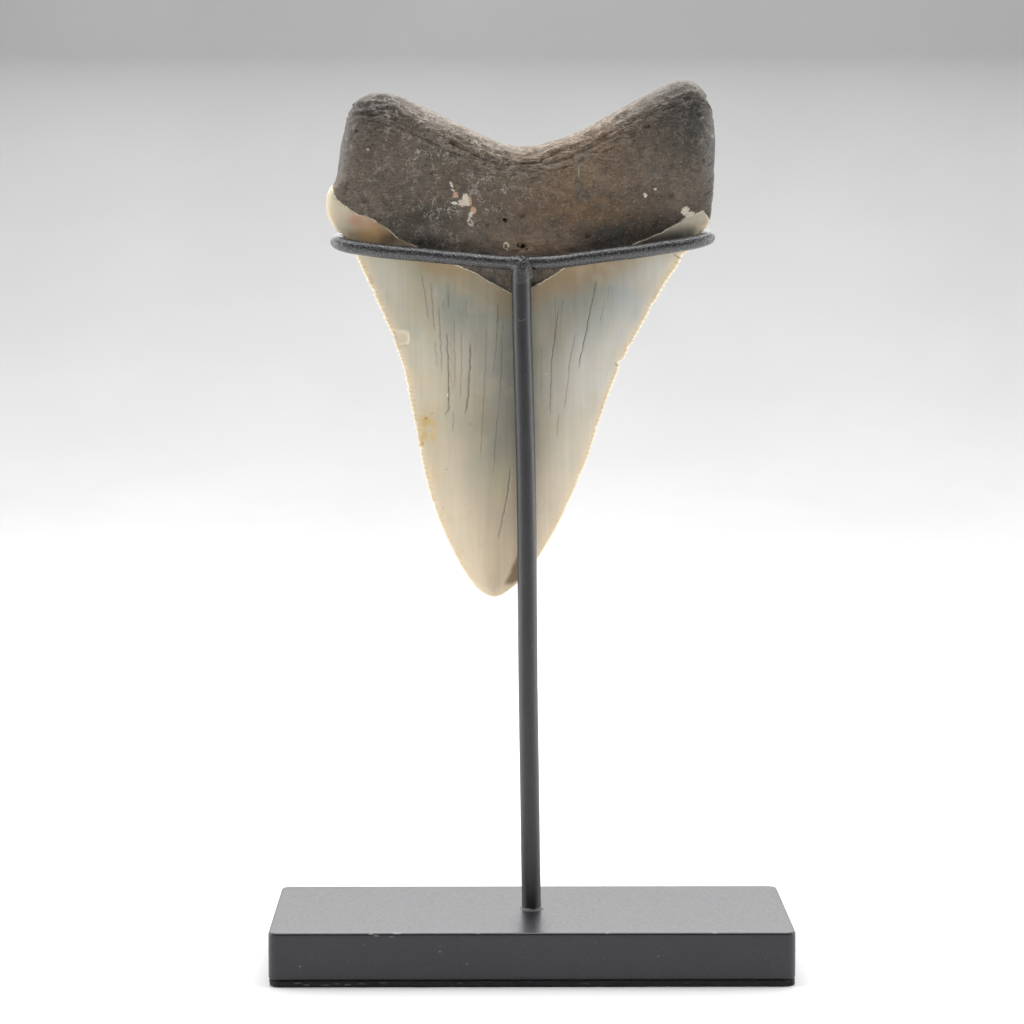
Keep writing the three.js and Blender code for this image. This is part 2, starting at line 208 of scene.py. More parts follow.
def line_distance(x, z, pts):
    """Signed distance to a polyline in the x-z plane (positive to its right going down), with how far along it."""
    best = np.full(x.shape, 1e9)
    sign = np.zeros(x.shape)
    along = np.zeros(x.shape)
    total = sum(math.dist(a, b) for a, b in zip(pts, pts[1:]))
    run = 0.0
    for (ax, az), (bx, bz) in zip(pts, pts[1:]):
        vx, vz = bx - ax, bz - az
        ll = vx * vx + vz * vz
        t = np.clip(((x - ax) * vx + (z - az) * vz) / ll, 0, 1)
        d = np.hypot(x - ax - t * vx, z - az - t * vz)
        s = np.sign((x - ax) * vz - (z - az) * vx)
        hit = d < best
        best = np.where(hit, d, best)
        sign = np.where(hit, s, sign)
        along = np.where(hit, (run + t * math.sqrt(ll)) / total, along)
        run += math.sqrt(ll)
    return best * sign, along


# ------------------------------------------------------------------ tooth
rooted = lambda tab: [(math.sqrt(max(z - TIP_Z, 0)), x) for z, x in tab]
left_x, right_x, top_z = pchip(rooted(LEFT)), pchip(rooted(RIGHT)), pchip(TOP)
rim_y, flat_y, thick = pchip(RIM_Y), pchip(FLAT_Y), pchip(THICK)
(ZL, XL), (ZR, XR) = LEFT[-1], RIGHT[-1]


def net(g, t):
    zl, zr = TIP_Z + (ZL - TIP_Z) * g, TIP_Z + (ZR - TIP_Z) * g
    xl, xr = left_x(np.sqrt(np.maximum(zl - TIP_Z, 0))), right_x(np.sqrt(np.maximum(zr - TIP_Z, 0)))
    k = (1 + t) / 2
    sag = top_z(XL + (XR - XL) * k) - (ZL + (ZR - ZL) * k)
    z = zl + (zr - zl) * k + smooth(0.3, 1.25, g) / smooth(0.3, 1.25, 1.0) * sag
    return xl + (xr - xl) * k, z, xl, xr, (zl + zr) / 2


def tooth_side(g, t, front):
    x, z, xl, xr, side = net(g, t)
    xt, zt = net(np.ones_like(g), t)[:2]
    w = smooth(125, 134, side)
    y = rim_y(z)
    dish = 0.5 * np.exp(-(t / 0.35) ** 2) * smooth(124, 136, z)
    to_flat = y - flat_y(z) - dish
    tip = quarter((z - TIP_Z + 0.02) / 3)
    dx, dz = np.minimum(x - xl, xr - x), np.hypot(zt - z, xt - x)
    if front:
        crown = 1 - np.abs(t) ** 2.6
        root = quarter(dx / 4) * quarter(dz / 3.4)
        yy = y - to_flat * tip * ((1 - w) * crown + w * root)
    else:
        crown = 1 - t * t
        root = quarter(dx / 8) * quarter(dz / 9) * (1 - 0.25 * t * t)
        yy = y + (thick(z) - to_flat) * tip * ((1 - w) * crown + w * root)
    return np.stack([x, yy, z], -1), dx, dz, w


def build_tooth():
    rows, nf = ((470, 140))
    nb = nf // 2
    s = np.arange(1, rows + 1) / rows
    g = s * s / (s + 0.05 * (1 - s))
    g = g + 0.02 * np.sin(np.pi * np.clip((s - 0.8) / 0.2, 0, 1)) ** 2 * s
    g[-1] = 1.0
    u = np.linspace(-1, 1, nf + 1)
    across = 0.35 * np.sin(u * np.pi / 2) + 0.65 * u
    gf, tf = np.meshgrid(g, across, indexing="ij")
    gb, tb = np.meshgrid(g, across[::2][::-1][1:-1], indexing="ij")
    pf, dxf, dzf, wf = tooth_side(gf, tf, True)
    pb, dxb, dzb, wb = tooth_side(gb, tb, False)
    P = np.concatenate([pf, pb], 1)                       # rows x loop x 3
    T = np.concatenate([tf, tb], 1)
    DX = np.concatenate([dxf, dxb], 1)
    DZ = np.concatenate([dzf, dzb], 1)
    W = np.concatenate([wf, wb], 1)
    front = np.concatenate([np.ones_like(tf), np.zeros_like(tb)], 1)
    x, y, z = P[..., 0], P[..., 1], P[..., 2]

    # true distance in from the outline, allowing for the outline's slope
    zc = z.copy()
    slope_l = np.gradient(left_x(np.sqrt(np.maximum(zc[:, 0] - TIP_Z, 0))), zc[:, 0] + np.arange(rows) * 1e-9)
    slope_r = np.gradient(right_x(np.sqrt(np.maximum(zc[:, nf] - TIP_Z, 0))), zc[:, nf] + np.arange(rows) * 1e-9)
    xl, xr = P[:, :1, 0], P[:, nf:nf + 1, 0]
    el = (x - xl) / np.sqrt(1 + np.clip(slope_l, -3, 3) ** 2)[:, None]
    er = (xr - x) / np.sqrt(1 + np.clip(slope_r, -3, 3) ** 2)[:, None]
    edge = np.minimum(el, er)

    # fields ------------------------------------------------------------
    q = np.stack([x, y, z], -1)
    wobble = 0.16 * fbm(q * 0.9, 3, 11)
    lab = z - np.interp(x, *zip(*LABIAL))
    d, _ = line_distance(x, z, LABIAL)
    f_lab = np.abs(d) * np.sign(lab)
    d, _ = line_distance(x, z, LINGUAL)
    f_ling = np.abs(d) * np.sign(z - np.interp(x, *zip(*LINGUAL)))
    mix = np.where(front > 0, 0.0, smooth(0.0, 5.0, np.maximum(edge, 0)))
    f_root = f_lab * (1 - mix) + f_ling * mix + wobble
    band = (0.8 + 3.6 * np.exp(-((x + 2) / 17) ** 2)) * mix
    f_enamel = -f_root - band + 0.2 * fbm(q * 0.7, 2, 19) * mix

    jitter = 0.14 * fbm(np.stack([x * 0.2, y * 0, z * 0.9], -1), 3, 31)
    lines = [(st, pts, True) for st, pts in sorted(CRACKS, key=lambda k: k[1][0][0] + 0.2 * k[1][-1][0])]
    for k in range(13):           # the same kind on the domed face
        cx = -15 + 26 * (k + 0.5) / 13 + rng.uniform(-0.6, 0.6)
        top = 108 - 0.012 * (cx + 2) ** 2 + rng.uniform(-9, 1)
        foot = top - rng.uniform(8, 24)
        lines.append((rng.uniform(0.35, 0.95), [(cx, top), (cx * 0.93 + rng.uniform(-.3, .3), (top + foot) / 2),
                                                (cx * 0.82 + rng.uniform(-.4, .4), foot)], False))
    crack_sets = []
    for which in (0, 1, 2):
        best, signed, mask = np.full(x.shape, 9.0), np.full(x.shape, 9.0), np.zeros(x.shape)
        for strength, pts, on_front in lines[which::3]:
            sd, along = line_distance(x + jitter, z, pts)
            a = np.where((front > 0) == on_front, np.abs(sd), 9.0)
            hit = a < best
            best, signed = np.where(hit, a, best), np.where(hit, sd, signed)
            mask = np.where(hit, strength * np.clip(np.minimum(along, 1 - along) * 10, 0, 1) ** 0.7 * smooth(0.68, 0.44, a), mask)
        mask = mask * np.where(front > 0, smooth(0.2, 0.8, -f_root + 1.0), smooth(0.3, 0.9, f_enamel))
        crack_sets.append((signed, mask))
    (f_crack, crack_m), (f_crack2, crack_m2), (f_crack3, crack_m3) = crack_sets

    # serrated edges: arc length along each edge from the tip
    arc = lambda c: np.concatenate([[0], np.cumsum(np.linalg.norm(np.diff(P[:, c], axis=0), axis=1))])
    al, ar = arc(0)[:, None], arc(nf)[:, None]
    pitch = 0.86
    drift = 0.35 * noise(np.stack([al / 2.1, al * 0, al * 0 + 3], -1), 5), 0.35 * noise(np.stack([ar / 2.1, ar * 0, ar * 0 + 9], -1), 6)
    wave_l = np.abs(np.sin(np.pi * (al / pitch + drift[0]))) ** 0.75
    wave_r = np.abs(np.sin(np.pi * (ar / pitch + drift[1]))) ** 0.75
    left_half = el < er
    wave = np.where(left_half, wave_l, wave_r)
    zl_row = z[:, :1] * 0 + P[:, :1, 2]
    zside = np.where(left_half, P[:, :1, 2], P[:, nf:nf + 1, 2])
    serr = (0.25 + 0.75 * smooth(70, 86, zside)) * smooth(126.0, 122.5, zside) * (1 - W)
    size = 0.75 + 0.35 * noise(np.stack([np.where(left_half, al, ar) / 1.3, x * 0, left_half * 5.0], -1), 8)
    lift = (wave - 0.62) * serr * size                    # -0.62 .. 0.38
    fall = smooth(1.0, 0.0, edge)
    # nicks: side, z, half width, depth
    nick = np.zeros(x.shape)
    for side, nz, half, depth in ((1, 102.9, 0.55, 0.5), (1, 105.6, 0.4, 0.22), (1, 121.0, 0.7, 0.35), (1, 112.8, 0.5, 0.2),
                                  (-1, 88.2, 0.35, 0.28), (-1, 88.9, 0.3, -0.16), (-1, 107.5, 1.0, 0.12), (-1, 99.2, 0.4, 0.18),
                                  (1, 92.0, 0.4, 0.16), (1, 83.6, 0.5, 0.14), (-1, 115.2, 0.5, 0.2), (-1, 79.0, 0.4, 0.12)):
        here = left_half if side < 0 else ~left_half
        nick += np.where(here, depth * np.exp(-((zside - nz) / half) ** 2), 0)
    wander = 0.1 * fbm(np.stack([np.where(left_half, al, ar) / 3.1, x * 0, left_half * 7.0], -1), 3, 44) * smooth(66, 74, zside)
    push = (0.30 * lift + wander - nick) * fall
    push = np.minimum(push, 0.16)
    out = np.where(left_half, -1.0, 1.0)
    slope = np.where(left_half, slope_l[:, None], slope_r[:, None])
    nx = out / np.sqrt(1 + np.clip(slope, -3, 3) ** 2)
    nz_ = -out * np.clip(slope, -3, 3) / np.sqrt(1 + np.clip(slope, -3, 3) ** 2)
    x = x + push * nx
    z = z + push * nz_
    # grooves between serrations run a little way onto each face, and the edge keeps some thickness
    groove = (1 - wave) * serr * smooth(0.95, 0.1, edge)
    face = np.where(front > 0, 1.0, -1.0)
    blunt = 0.22 * quarter(edge / 0.25) * (1 - W) * smooth(0.0, 2.0, z - TIP_Z)
    y = y - face * blunt + face * 0.13 * groove * np.clip(edge / 0.12, 0, 1)

    P2 = np.stack([x, y, z], -1)
    # normals of the smooth shape
    dj = np.roll(P2, -1, 1) - np.roll(P2, 1, 1)
    di = np.gradient(P2, axis=0)
    N = np.cross(dj, di)
    N /= np.linalg.norm(N, axis=-1, keepdims=True) + 1e-12

    # root relief ---------------------------------------------------------
    root = smooth(-0.06, 0.3, f_root)
    r = np.zeros(x.shape)
    r += 0.30 * fbm(q / 9.0, 3, 51)
    r += 0.20 * fbm(q / 2.6, 3, 61)
    r += 0.11 * fbm(q / 0.9, 2, 71)
    curl = fbm(q / 2.2 + 0.5 * np.stack([fbm(q / 1.5, 2, 73), fbm(q / 1.5, 2, 75), fbm(q / 1.5, 2, 77)], -1), 3, 79)
    r += 0.22 * smooth(0.09, 0.0, np.abs(curl)) * (0.35 + 0.65 * smooth(12, 3, DZ))
    loop_arc = np.concatenate([np.zeros((rows, 1)), np.cumsum(np.linalg.norm(np.diff(P, axis=1), axis=2), 1)], 1)
    flow_u = np.where(front > 0, x, x + 40)
    rim_w = smooth(9, 1.5, DZ)
    fib = fbm(np.stack([flow_u / 4.2, DZ / 0.75, front * 9], -1), 3, 81)
    r += 0.54 * fib * rim_w
    fine_fib = fbm(np.stack([flow_u / 1.9, DZ / 0.42, front * 9 + 4], -1), 2, 85)
    r += 0.28 * fine_fib * rim_w
    low_w = smooth(16, 3, f_root) * smooth(-1, 2, f_root) * (1 - rim_w)
    fib2 = fbm(np.stack([x / 0.8, z / 5.0, front * 5], -1), 2, 91)
    r += 0.06 * fib2 * low_w
    for scale, rad, depth, keep, seed in ((3.6, 0.2, 0.42, 0.60, 101), (1.9, 0.24, 0.22, 0.66, 111)):
        dd, own = cells(q / scale, seed)
        r -= np.where(own > keep, depth * smooth(rad, rad * 0.35, dd), 0)
    for px, pz, rad, depth in ((-4.39, 127.35, 0.45, 0.5), (-1.6, 122.84, 0.5, 0.55), (-1.0, 122.9, 0.35, 0.4),
                               (8.2, 131.0, 0.4, 0.3), (14.5, 134.0, 0.35, 0.3), (-20.0, 141.5, 0.5, 0.25)):
        r -= np.where(front > 0, depth * np.exp(-(((x - px) / rad) ** 2 + ((z - pz) / rad) ** 2)), 0)
    r *= np.clip(0.45 + edge / 3, 0, 1) * np.clip(0.62 + DZ / 2.0, 0, 1)
    # nutrient opening and protuberance on the domed face
    back_w = 1 - front
    r += back_w * (0.9 * np.exp(-(((x + 2) / 9) ** 2 + ((z - 128) / 5) ** 2)))
    r -= back_w * 1.1 * np.exp(-(((x + 1.6) / 0.8) ** 2 + ((z - 127.0) / 0.6) ** 2))
    root_drop = 0.24
    # enamel: faint flutes and a thin raised lip at its edge
    e = 0.05 * fbm(np.stack([x / 2.4, y * 0, z / 22.0 + front * 4], -1), 3, 121) + 0.05 * fbm(q / 7.0, 2, 131)
    e += 0.04 * np.exp(-((f_root + 0.22) / 0.16) ** 2)
    e -= 0.06 * (crack_m * np.exp(-(f_crack / 0.12) ** 2) + crack_m2 * np.exp(-(f_crack2 / 0.12) ** 2)
                 + crack_m3 * np.exp(-(f_crack3 / 0.12) ** 2))
    bour = smooth(0.15, -0.15, f_enamel) * (1 - root)
    e -= 0.12 * bour
    # chipped patch on the left edge, facet by the tip
    chip = np.where(front > 0, np.exp(-(np.maximum(np.abs(x + 22.1) / 1.15, np.abs(z - 107.2) / 1.25)) ** 6), 0)
    e -= 0.16 * chip
    fs, _ = line_distance(x, z, [(-4.3, 65.4), (-3.3, 68.0), (-2.3, 71.5)])
    facet = np.where((front > 0) & (x > -4.4), smooth(1.3, 0.2, np.abs(fs - 0.9)) * smooth(64.2, 65.2, z) * smooth(72, 70, z), 0)
    e -= 0.14 * facet
    calm = np.clip(edge / 0.8, 0, 1) * smooth(0, 2.5, z - TIP_Z)
    disp = root * (r - root_drop) + (1 - root) * e * calm
    # stay clear of the wire and post, and inside the CAD part's box
    close = np.where(front > 0, smooth(2.3, 3.4, y), 1.0)
    disp = np.where(front > 0, np.minimum(disp, 0.06 + 0.5 * close), disp)
    P3 = P2 + N * disp[..., None]
    P3[-1] = P2[-1] + N[-1] * np.minimum(disp[-1], 0)[:, None] * 0
    lo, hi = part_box("megalodon_tooth")
    lo, hi = np.array(lo) / MM, np.array(hi) / MM
    P3 = np.clip(P3, lo + 0.01, hi - 0.01)

    # colour ---------------------------------------------------------------
    X, Z = x, z
    across_t = T
    low = smooth(98, 66, Z)
    col = lambda *c: np.array(c, float)
    lerp = lambda a, b, w: a * (1 - w[..., None]) + b * w[..., None]
    mean_z = 0.5 * (P[:, :1, 2] + P[:, nf:nf + 1, 2])
    at = np.abs(across_t)
    inner = 0.4 * smooth(96, 118, mean_z)
    outer = 0.66 + 0.40 * smooth(70, 116, mean_z)
    toward = smooth(0, 1, (at - inner) / (outer - inner))
    mid = 1 - toward
    # The crown's tint grows paler toward its edges and its tip, with a cream band along the edge: partly the enamel's
    # own colour, partly painted light (glow through the thin enamel at the edges, and stronger light low down near the
    # floor).
    side = lerp(col(0.57, 0.515, 0.395) + 0 * X[..., None], col(0.575, 0.555, 0.485), smooth(-0.4, 0.5, across_t))
    side = lerp(side, col(0.83, 0.695, 0.51), smooth(112, 64, Z))
    heart = lerp(col(0.315, 0.303, 0.250) + 0 * X[..., None], col(0.70, 0.555, 0.395), smooth(96, 63, Z))
    c = lerp(heart, side, toward)
    c = lerp(c, col(0.86, 0.70, 0.49), smooth(2.0, 0.3, edge) * (0.45 + 0.40 * low))
    g1 = fbm(q / 6.5, 3, 141)
    c = lerp(c, c * col(0.86, 0.92, 0.94), np.clip(0.8 * smooth(0.0, 0.6, g1) * (1 - low), 0, 1))
    g2 = fbm(q / 4.0 + 30, 3, 151)
    c = lerp(c, c * col(1.06, 0.98, 0.86), np.clip(0.5 * smooth(0.0, 0.6, g2), 0, 1))
    streak = fbm(np.stack([X / 0.9, X * 0, Z / 16.0], -1), 3, 161)
    c = c * (1 + 0.035 * streak[..., None] * mid[..., None] * (1 - low[..., None]))
    # Painted light: the crown above z 90 is made brighter to offset the shade that falls below the wire.
    c = c * (1 + 0.16 * smooth(90, 104, Z) * (1 - 0.5 * smooth(0.75, 1.0, at)))[..., None]
    # tan band under the root
    under = smooth(6.2 + 1.6 * g1, 1.0, -f_root) * smooth(-1.0, 0.2, -f_root) * (0.45 + 0.55 * smooth(29, 14, np.abs(X + 2)))
    c = lerp(c, col(0.39, 0.300, 0.186), 0.90 * under * np.where(front > 0, 1, 0.5))
    blue = smooth(7.5, 4.5, -f_root) * smooth(3.0, 5.2, -f_root) * front
    c = lerp(c, c * col(0.93, 0.98, 0.99), (0.8 - 0.5 * smooth(0, 6, X)) * blue)

    def blob(px, pz, rx, rz, colour, amount, back=False):
        nonlocal c
        n = 0.35 * fbm(q / (0.45 * max(rx, rz) + 0.2), 3, int(abs(px * 7 + pz)) + 200)
        w = np.exp(-np.maximum((((X - px) / rx) ** 2 + ((Z - pz) / rz) ** 2) * (1 + n * 1.4), 0) ** 1.3)
        w = amount * w * ((1 - front) if back else front)
        c = lerp(c, col(*colour), np.clip(w, 0, 1))

    blob(-29.7, 127.3, 1.7, 1.1, (0.50, 0.27, 0.165), 0.95)
    blob(-25.6, 126.3, 1.4, 1.0, (0.26, 0.235, 0.125), 0.8)
    blob(-27.4, 126.3, 2.1, 1.4, (0.44, 0.262, 0.14), 0.9)
    blob(-24.2, 124.4, 2.6, 1.4, (0.14, 0.092, 0.048), 0.95)
    blob(-27.6, 124.9, 2.4, 1.6, (0.56, 0.325, 0.130), 0.92)
    blob(-31.2, 125.2, 1.6, 0.9, (0.44, 0.36, 0.24), 0.5)
    wd, _ = line_distance(X + 0.12 * fbm(q / 0.7, 2, 261), Z, [(-2.1, 71.6), (-3.0, 69.4), (-4.0, 66.9), (-4.9, 65.1)])
    wd = np.where(X > np.interp(Z, [65.1, 66.9, 69.4, 71.6], [-4.9, -4.0, -3.0, -2.1]), np.abs(wd), -np.abs(wd))
    wedge = smooth(-0.1, 0.75, wd) * smooth(64.6, 65.6, Z) * smooth(71.8, 69.0, Z) * front * (X < 0.5)
    c = lerp(c, col(0.29, 0.21, 0.12), 0.92 * wedge)
    for px, pz, s, cc in ((-27.5, 117.2, .5, (0.66, 0.42, 0.28)), (-26.2, 113.6, .4, (0.70, 0.58, 0.26)), (-28.6, 119.3, .45, (0.75, 0.68, 0.30)),
                          (19.0, 108.9, .45, (0.68, 0.36, 0.20)), (16.4, 105.4, .5, (0.70, 0.46, 0.22)), (14.0, 99.0, .4, (0.66, 0.50, 0.28)),
                          (25.4, 120.6, .7, (0.66, 0.57, 0.35)), (12.6, 95.6, .45, (0.70, 0.48, 0.22))):
        blob(px, pz, s, s * 1.2, cc, 0.75)

    def tone(px, pz, rx, rz, colour, amount=1.0):
        nonlocal c
        w = amount * np.exp(-((((X - px) / rx) ** 2 + ((Z - pz) / rz) ** 2)) ** 1.2) * front
        c = lerp(c, c * col(*colour), np.clip(w, 0, 1))

    tone(14.5, 115.5, 6.0, 5.0, (0.86, 0.88, 0.92))
    # Painted shadow: a darker band on the crown just left of the post, where the post shades it.
    tone(-4.0, 104.5, 1.8, 9.0, (0.82, 0.82, 0.86))
    tone(-14.0, 115.6, 2.6, 3.0, (1.16, 1.18, 1.22))
    tone(-11.4, 104.5, 2.4, 4.5, (1.15, 1.12, 1.12))
    tone(1.6, 105.0, 1.8, 6.0, (1.16, 1.14, 1.10))
    tone(-9.0, 84.0, 5.0, 3.5, (0.90, 0.95, 0.96), 0.8)
    tone(-24.0, 117.0, 3.5, 4.5, (1.02, 1.04, 1.08))
    tone(13.0, 107.0, 6.5, 9.0, (0.95, 0.985, 1.05))
    tone(-17.0, 104.0, 4.0, 6.0, (0.99, 1.02, 1.07))
    tone(7.0, 93.0, 3.5, 6.0, (0.99, 1.02, 1.06))
    tone(-8.8, 115.5, 3.0, 2.2, (1.0, 1.08, 1.12))
    tone(6.9, 115.5, 3.6, 2.2, (1.0, 0.92, 0.86))
    tone(-17.9, 93.4, 2.6, 2.6, (0.95, 0.92, 0.85))
    tone(-7.9, 93.4, 2.5, 5.0, (0.97, 0.91, 0.86))
    tone(7.6, 104.5, 2.2, 5.0, (1.10, 1.08, 1.10))
    tone(-5.3, 82.4, 2.2, 4.0, (1.18, 1.17, 1.07))
    tone(-15.0, 119.0, 5.0, 1.8, (0.99, 0.94, 0.85))
    tone(-5.5, 72.5, 3.0, 6.0, (1.07, 1.10, 1.07))
    inner_w = mid * smooth(72, 90, Z) * smooth(0.4, 2.5, -f_root)
    s2 = fbm(np.stack([X / 1.7, X * 0 + front * 5, Z / 8.0], -1), 3, 171)
    s3 = fbm(np.stack([X / 2.1 + 40, X * 0 + front * 5, Z / 6.0], -1), 3, 175)
    c = lerp(c, c * col(0.955, 0.945, 0.915), np.clip(smooth(0.02, 0.45, s2) * inner_w, 0, 1))
    c = lerp(c, c * col(1.025, 1.04, 1.04), np.clip(smooth(0.02, 0.45, s3) * inner_w, 0, 1))
    tone(11.0, 118.3, 7.5, 2.0, (1.02, 0.955, 0.86))
    tone(15.0, 115.2, 3.6, 1.4, (0.91, 0.95, 0.99))
    tone(5.5, 113.3, 4.0, 1.0, (0.92, 0.96, 0.99))
    # Painted shade: the domed face is made darker away from its edges, to offset the stronger light it gets from
    # behind.
    c = c * (1 - 0.32 * (1 - front) * smooth(0.4, 3.0, edge))[..., None]

    # root colours
    rc = col(0.160, 0.126, 0.097) + 0 * X[..., None]
    n1, n2 = fbm(q / 7.5, 4, 181), fbm(q / 3.0 + 9, 3, 191)
    rust = np.exp(-(((X - 7) / 13) ** 2 + ((Z - 133) / 9) ** 2))
    rc = lerp(rc, col(0.245, 0.160, 0.092), np.clip(0.85 * rust + 0.3 * smooth(0, 0.6, n1), 0, 1))
    grey = np.exp(-(((X - 27) / 6) ** 2 + ((Z - 143) / 7.5) ** 2))
    rc = lerp(rc, col(0.060, 0.060, 0.053), np.clip(0.9 * grey, 0, 1))
    rc = lerp(rc, col(0.17, 0.165, 0.155), np.clip(0.7 * smooth(29.5, 31.6, X) + 0.5 * smooth(-30.5, -33, X) * smooth(133, 137, Z), 0, 1))
    rc = lerp(rc, col(0.105, 0.100, 0.088), np.clip(0.7 * smooth(0.1, 0.6, n2), 0, 1))
    arm = [(p[0], p[2]) for p in WIRE[:10]] + [(p[0], p[2]) for p in WIRE[24:]]
    arm = sorted(arm)
    above = Z - np.interp(X, [a for a, b in arm], [b for a, b in arm]) - 0.8
    reach = 3.4 + 2.2 * smooth(4, 12, X)
    # Band just above the wire's arms, darker: partly stain, partly painted shade where the wire blocks the light coming
    # from below.
    stain_and_shade_strip = smooth(0, 1, (reach - above - 0.9 * n2) / 2.6) * smooth(-1.5, 0.2, above) * front
    stain_and_shade_strip = stain_and_shade_strip * np.clip(0.04 + 0.92 * np.exp(-((X + 18.5) / 5.2) ** 2) + 0.8 * smooth(6, 12, X) * smooth(30, 26, X), 0, 1)
    rc = rc * (1 - 0.76 * stain_and_shade_strip)[..., None]

    def shade(px, pz, rx, rz, colour, amount):
        nonlocal rc
        n = 0.35 * fbm(q / (0.45 * max(rx, rz) + 0.2), 3, int(abs(px * 5 + pz)) + 300)
        w = amount * np.exp(-np.maximum((((X - px) / rx) ** 2 + ((Z - pz) / rz) ** 2) * (1 + n * 1.4), 0) ** 1.2) * front
        rc = lerp(rc, rc * col(*colour), np.clip(w, 0, 1))

    shade(9, 128.0, 12, 4.2, (0.76, 0.67, 0.58), 1.0)
    shade(20, 130.6, 4, 2.6, (0.74, 0.74, 0.74), 0.8)
    shade(-18.5, 127.2, 5.5, 3.0, (0.68, 0.70, 0.70), 1.0)
    shade(26.5, 148.0, 6.5, 5.0, (0.52, 0.54, 0.56), 1.0)
    shade(-27.5, 148.2, 6.5, 3.4, (0.42, 0.45, 0.47), 1.0)
    shade(9, 141.0, 7, 3.0, (1.34, 1.18, 1.02), 0.9)
    shade(-20.5, 140.2, 4.5, 3.8, (1.28, 1.24, 1.22), 0.8)
    shade(-18.5, 136.3, 3, 2, (1.25, 1.22, 1.20), 0.7)
    shade(-14.5, 134.3, 2.5, 2.6, (0.76, 0.80, 0.84), 0.8)
    shade(-14.3, 137.7, 2.7, 1.9, (0.72, 0.84, 0.86), 0.8)
    shade(-1.5, 134.6, 3.0, 2.4, (0.80, 0.86, 0.80), 0.6)
    shade(31.7, 137, 2.2, 10, (0.60, 0.61, 0.63), 1.0)
    shade(15, 143.3, 7, 3, (0.90, 0.80, 0.73), 0.9)
    shade(8.4, 132.4, 5, 4, (1.12, 1.12, 1.12), 1.0)
    shade(-2, 138.8, 5, 1.6, (0.99, 0.94, 0.92), 1.0)
    shade(20.5, 146.3, 5, 2.6, (0.80, 0.75, 0.71), 0.9)
    # Darker just above the wire on the right: partly stain, partly painted shade.
    shade(12, 124.3, 6, 2.2, (0.78, 0.82, 0.84), 1.0)
    shade(-17.4, 125.0, 5, 2.4, (1.02, 1.10, 1.20), 0.9)
    shade(-19.6, 128.3, 2.2, 1.8, (0.62, 0.70, 0.70), 0.9)
    shade(-24.5, 131.2, 2.4, 1.6, (0.84, 0.82, 0.80), 0.8)
    shade(-20, 138.0, 9, 5, (0.90, 0.91, 0.93), 0.9)
    shade(-32.8, 140, 1.9, 6, (0.72, 0.74, 0.76), 1.0)
    # Painted light: the root just above the middle of the wire is lightened to offset the wire's shadow.
    shade(-2, 123.0, 7, 2.2, (1.60, 1.48, 1.36), 1.0)
    # The root is lighter along its top edge and on its raised fibres there: partly its own colour, partly a painted
    # highlight where the edge catches light from above.
    rc = rc * (1 + 0.16 * fib[..., None] * rim_w[..., None]) * (1 + 0.10 * fib2[..., None] * low_w[..., None])
    calm_ends = 1 - 0.75 * smooth(15, 24, np.abs(X + 1))
    rc = lerp(rc, col(0.25, 0.205, 0.155), np.clip(0.45 * rim_w * smooth(-0.1, 0.5, fib) * smooth(7, 2, DZ) * calm_ends, 0, 1))
    rc = lerp(rc, col(0.26, 0.225, 0.185), np.clip(0.30 * smooth(2.4, 0.2, DZ) * smooth(-0.5, 0.4, fib) * calm_ends, 0, 1))
    rc = rc * (1 - 0.44 * np.exp(-(((X + 26) / 5) ** 2 + ((Z - 147.6) / 2.6) ** 2)) - 0.10 * np.exp(-(((X - 13) / 6) ** 2 + ((Z - 143.5) / 2.4) ** 2)))[..., None]
    # Just above the wire the enamel is darker too: partly stain, partly painted shade where the wire blocks the light
    # coming from below.
    contact_stain_and_shade = smooth(0.75, 0.05, above) * smooth(-1.6, -0.5, above) * front
    c = c * (1 - 0.62 * contact_stain_and_shade)[..., None]
    lee_stain_and_shade = smooth(2.9, 0.6, above) * smooth(-1.6, -0.3, above) * front
    lee_stain_and_shade = lee_stain_and_shade * np.clip(smooth(13, 19, X) * smooth(30.0, 26.0, X) + 0.30 * smooth(-26.5, -24.5, X) * smooth(-20, -24, X), 0, 1)
    c = c * (1 - 0.80 * lee_stain_and_shade)[..., None]
    rootw = smooth(-0.12, 0.12, f_root)
    c = lerp(c, col(0.085, 0.07, 0.055), np.clip(bour * 0.9, 0, 1))
    c_all = lerp(c, rc, rootw)
    c, keep_c = c_all, None
    c = np.clip(c, 0.004, 0.95)

    # mesh ------------------------------------------------------------------
    loop = P3.shape[1]
    verts = np.concatenate([np.array([[net(np.array(0.0), np.array(0.0))[0], float(rim_y(TIP_Z)), TIP_Z + 0.01]]),
                            P3[:-1].reshape(-1, 3), P3[-1, :nf + 1]])
    base = lambda i: 1 + i * loop
    faces = [(0, base(0) + (j + 1) % loop, base(0) + j) for j in range(loop)]
    j = np.arange(loop)
    k = (j + 1) % loop
    for i in range(1, rows - 1):
        a, b = base(i - 1), base(i)
        faces.extend(zip((a + j).tolist(), (a + k).tolist(), (b + k).tolist(), (b + j).tolist()))
    a, b = base(rows - 2), base(rows - 1)
    for jj in range(nf):
        faces.append((a + jj, a + jj + 1, b + jj + 1, b + jj))
    for m in range(nb):                                      # the domed face meets the same top edge
        lo_j, hi_j = nf + m, (nf + m + 1) % loop
        t0 = nf - 2 * m
        faces.append((a + lo_j, a + hi_j, b + t0 - 2, b + t0 - 1, b + t0))
    mesh = bpy.data.meshes.new("tooth")
    mesh.from_pydata((verts * MM).tolist(), [], faces)
    mesh.validate()
    mesh.polygons.foreach_set("use_smooth", np.ones(len(mesh.polygons), bool))

    def flat(a):
        return np.concatenate([a[:1].mean(1, keepdims=True).reshape((1,) + a.shape[2:]),
                               a[:-1].reshape((-1,) + a.shape[2:]), a[-1, :nf + 1]])

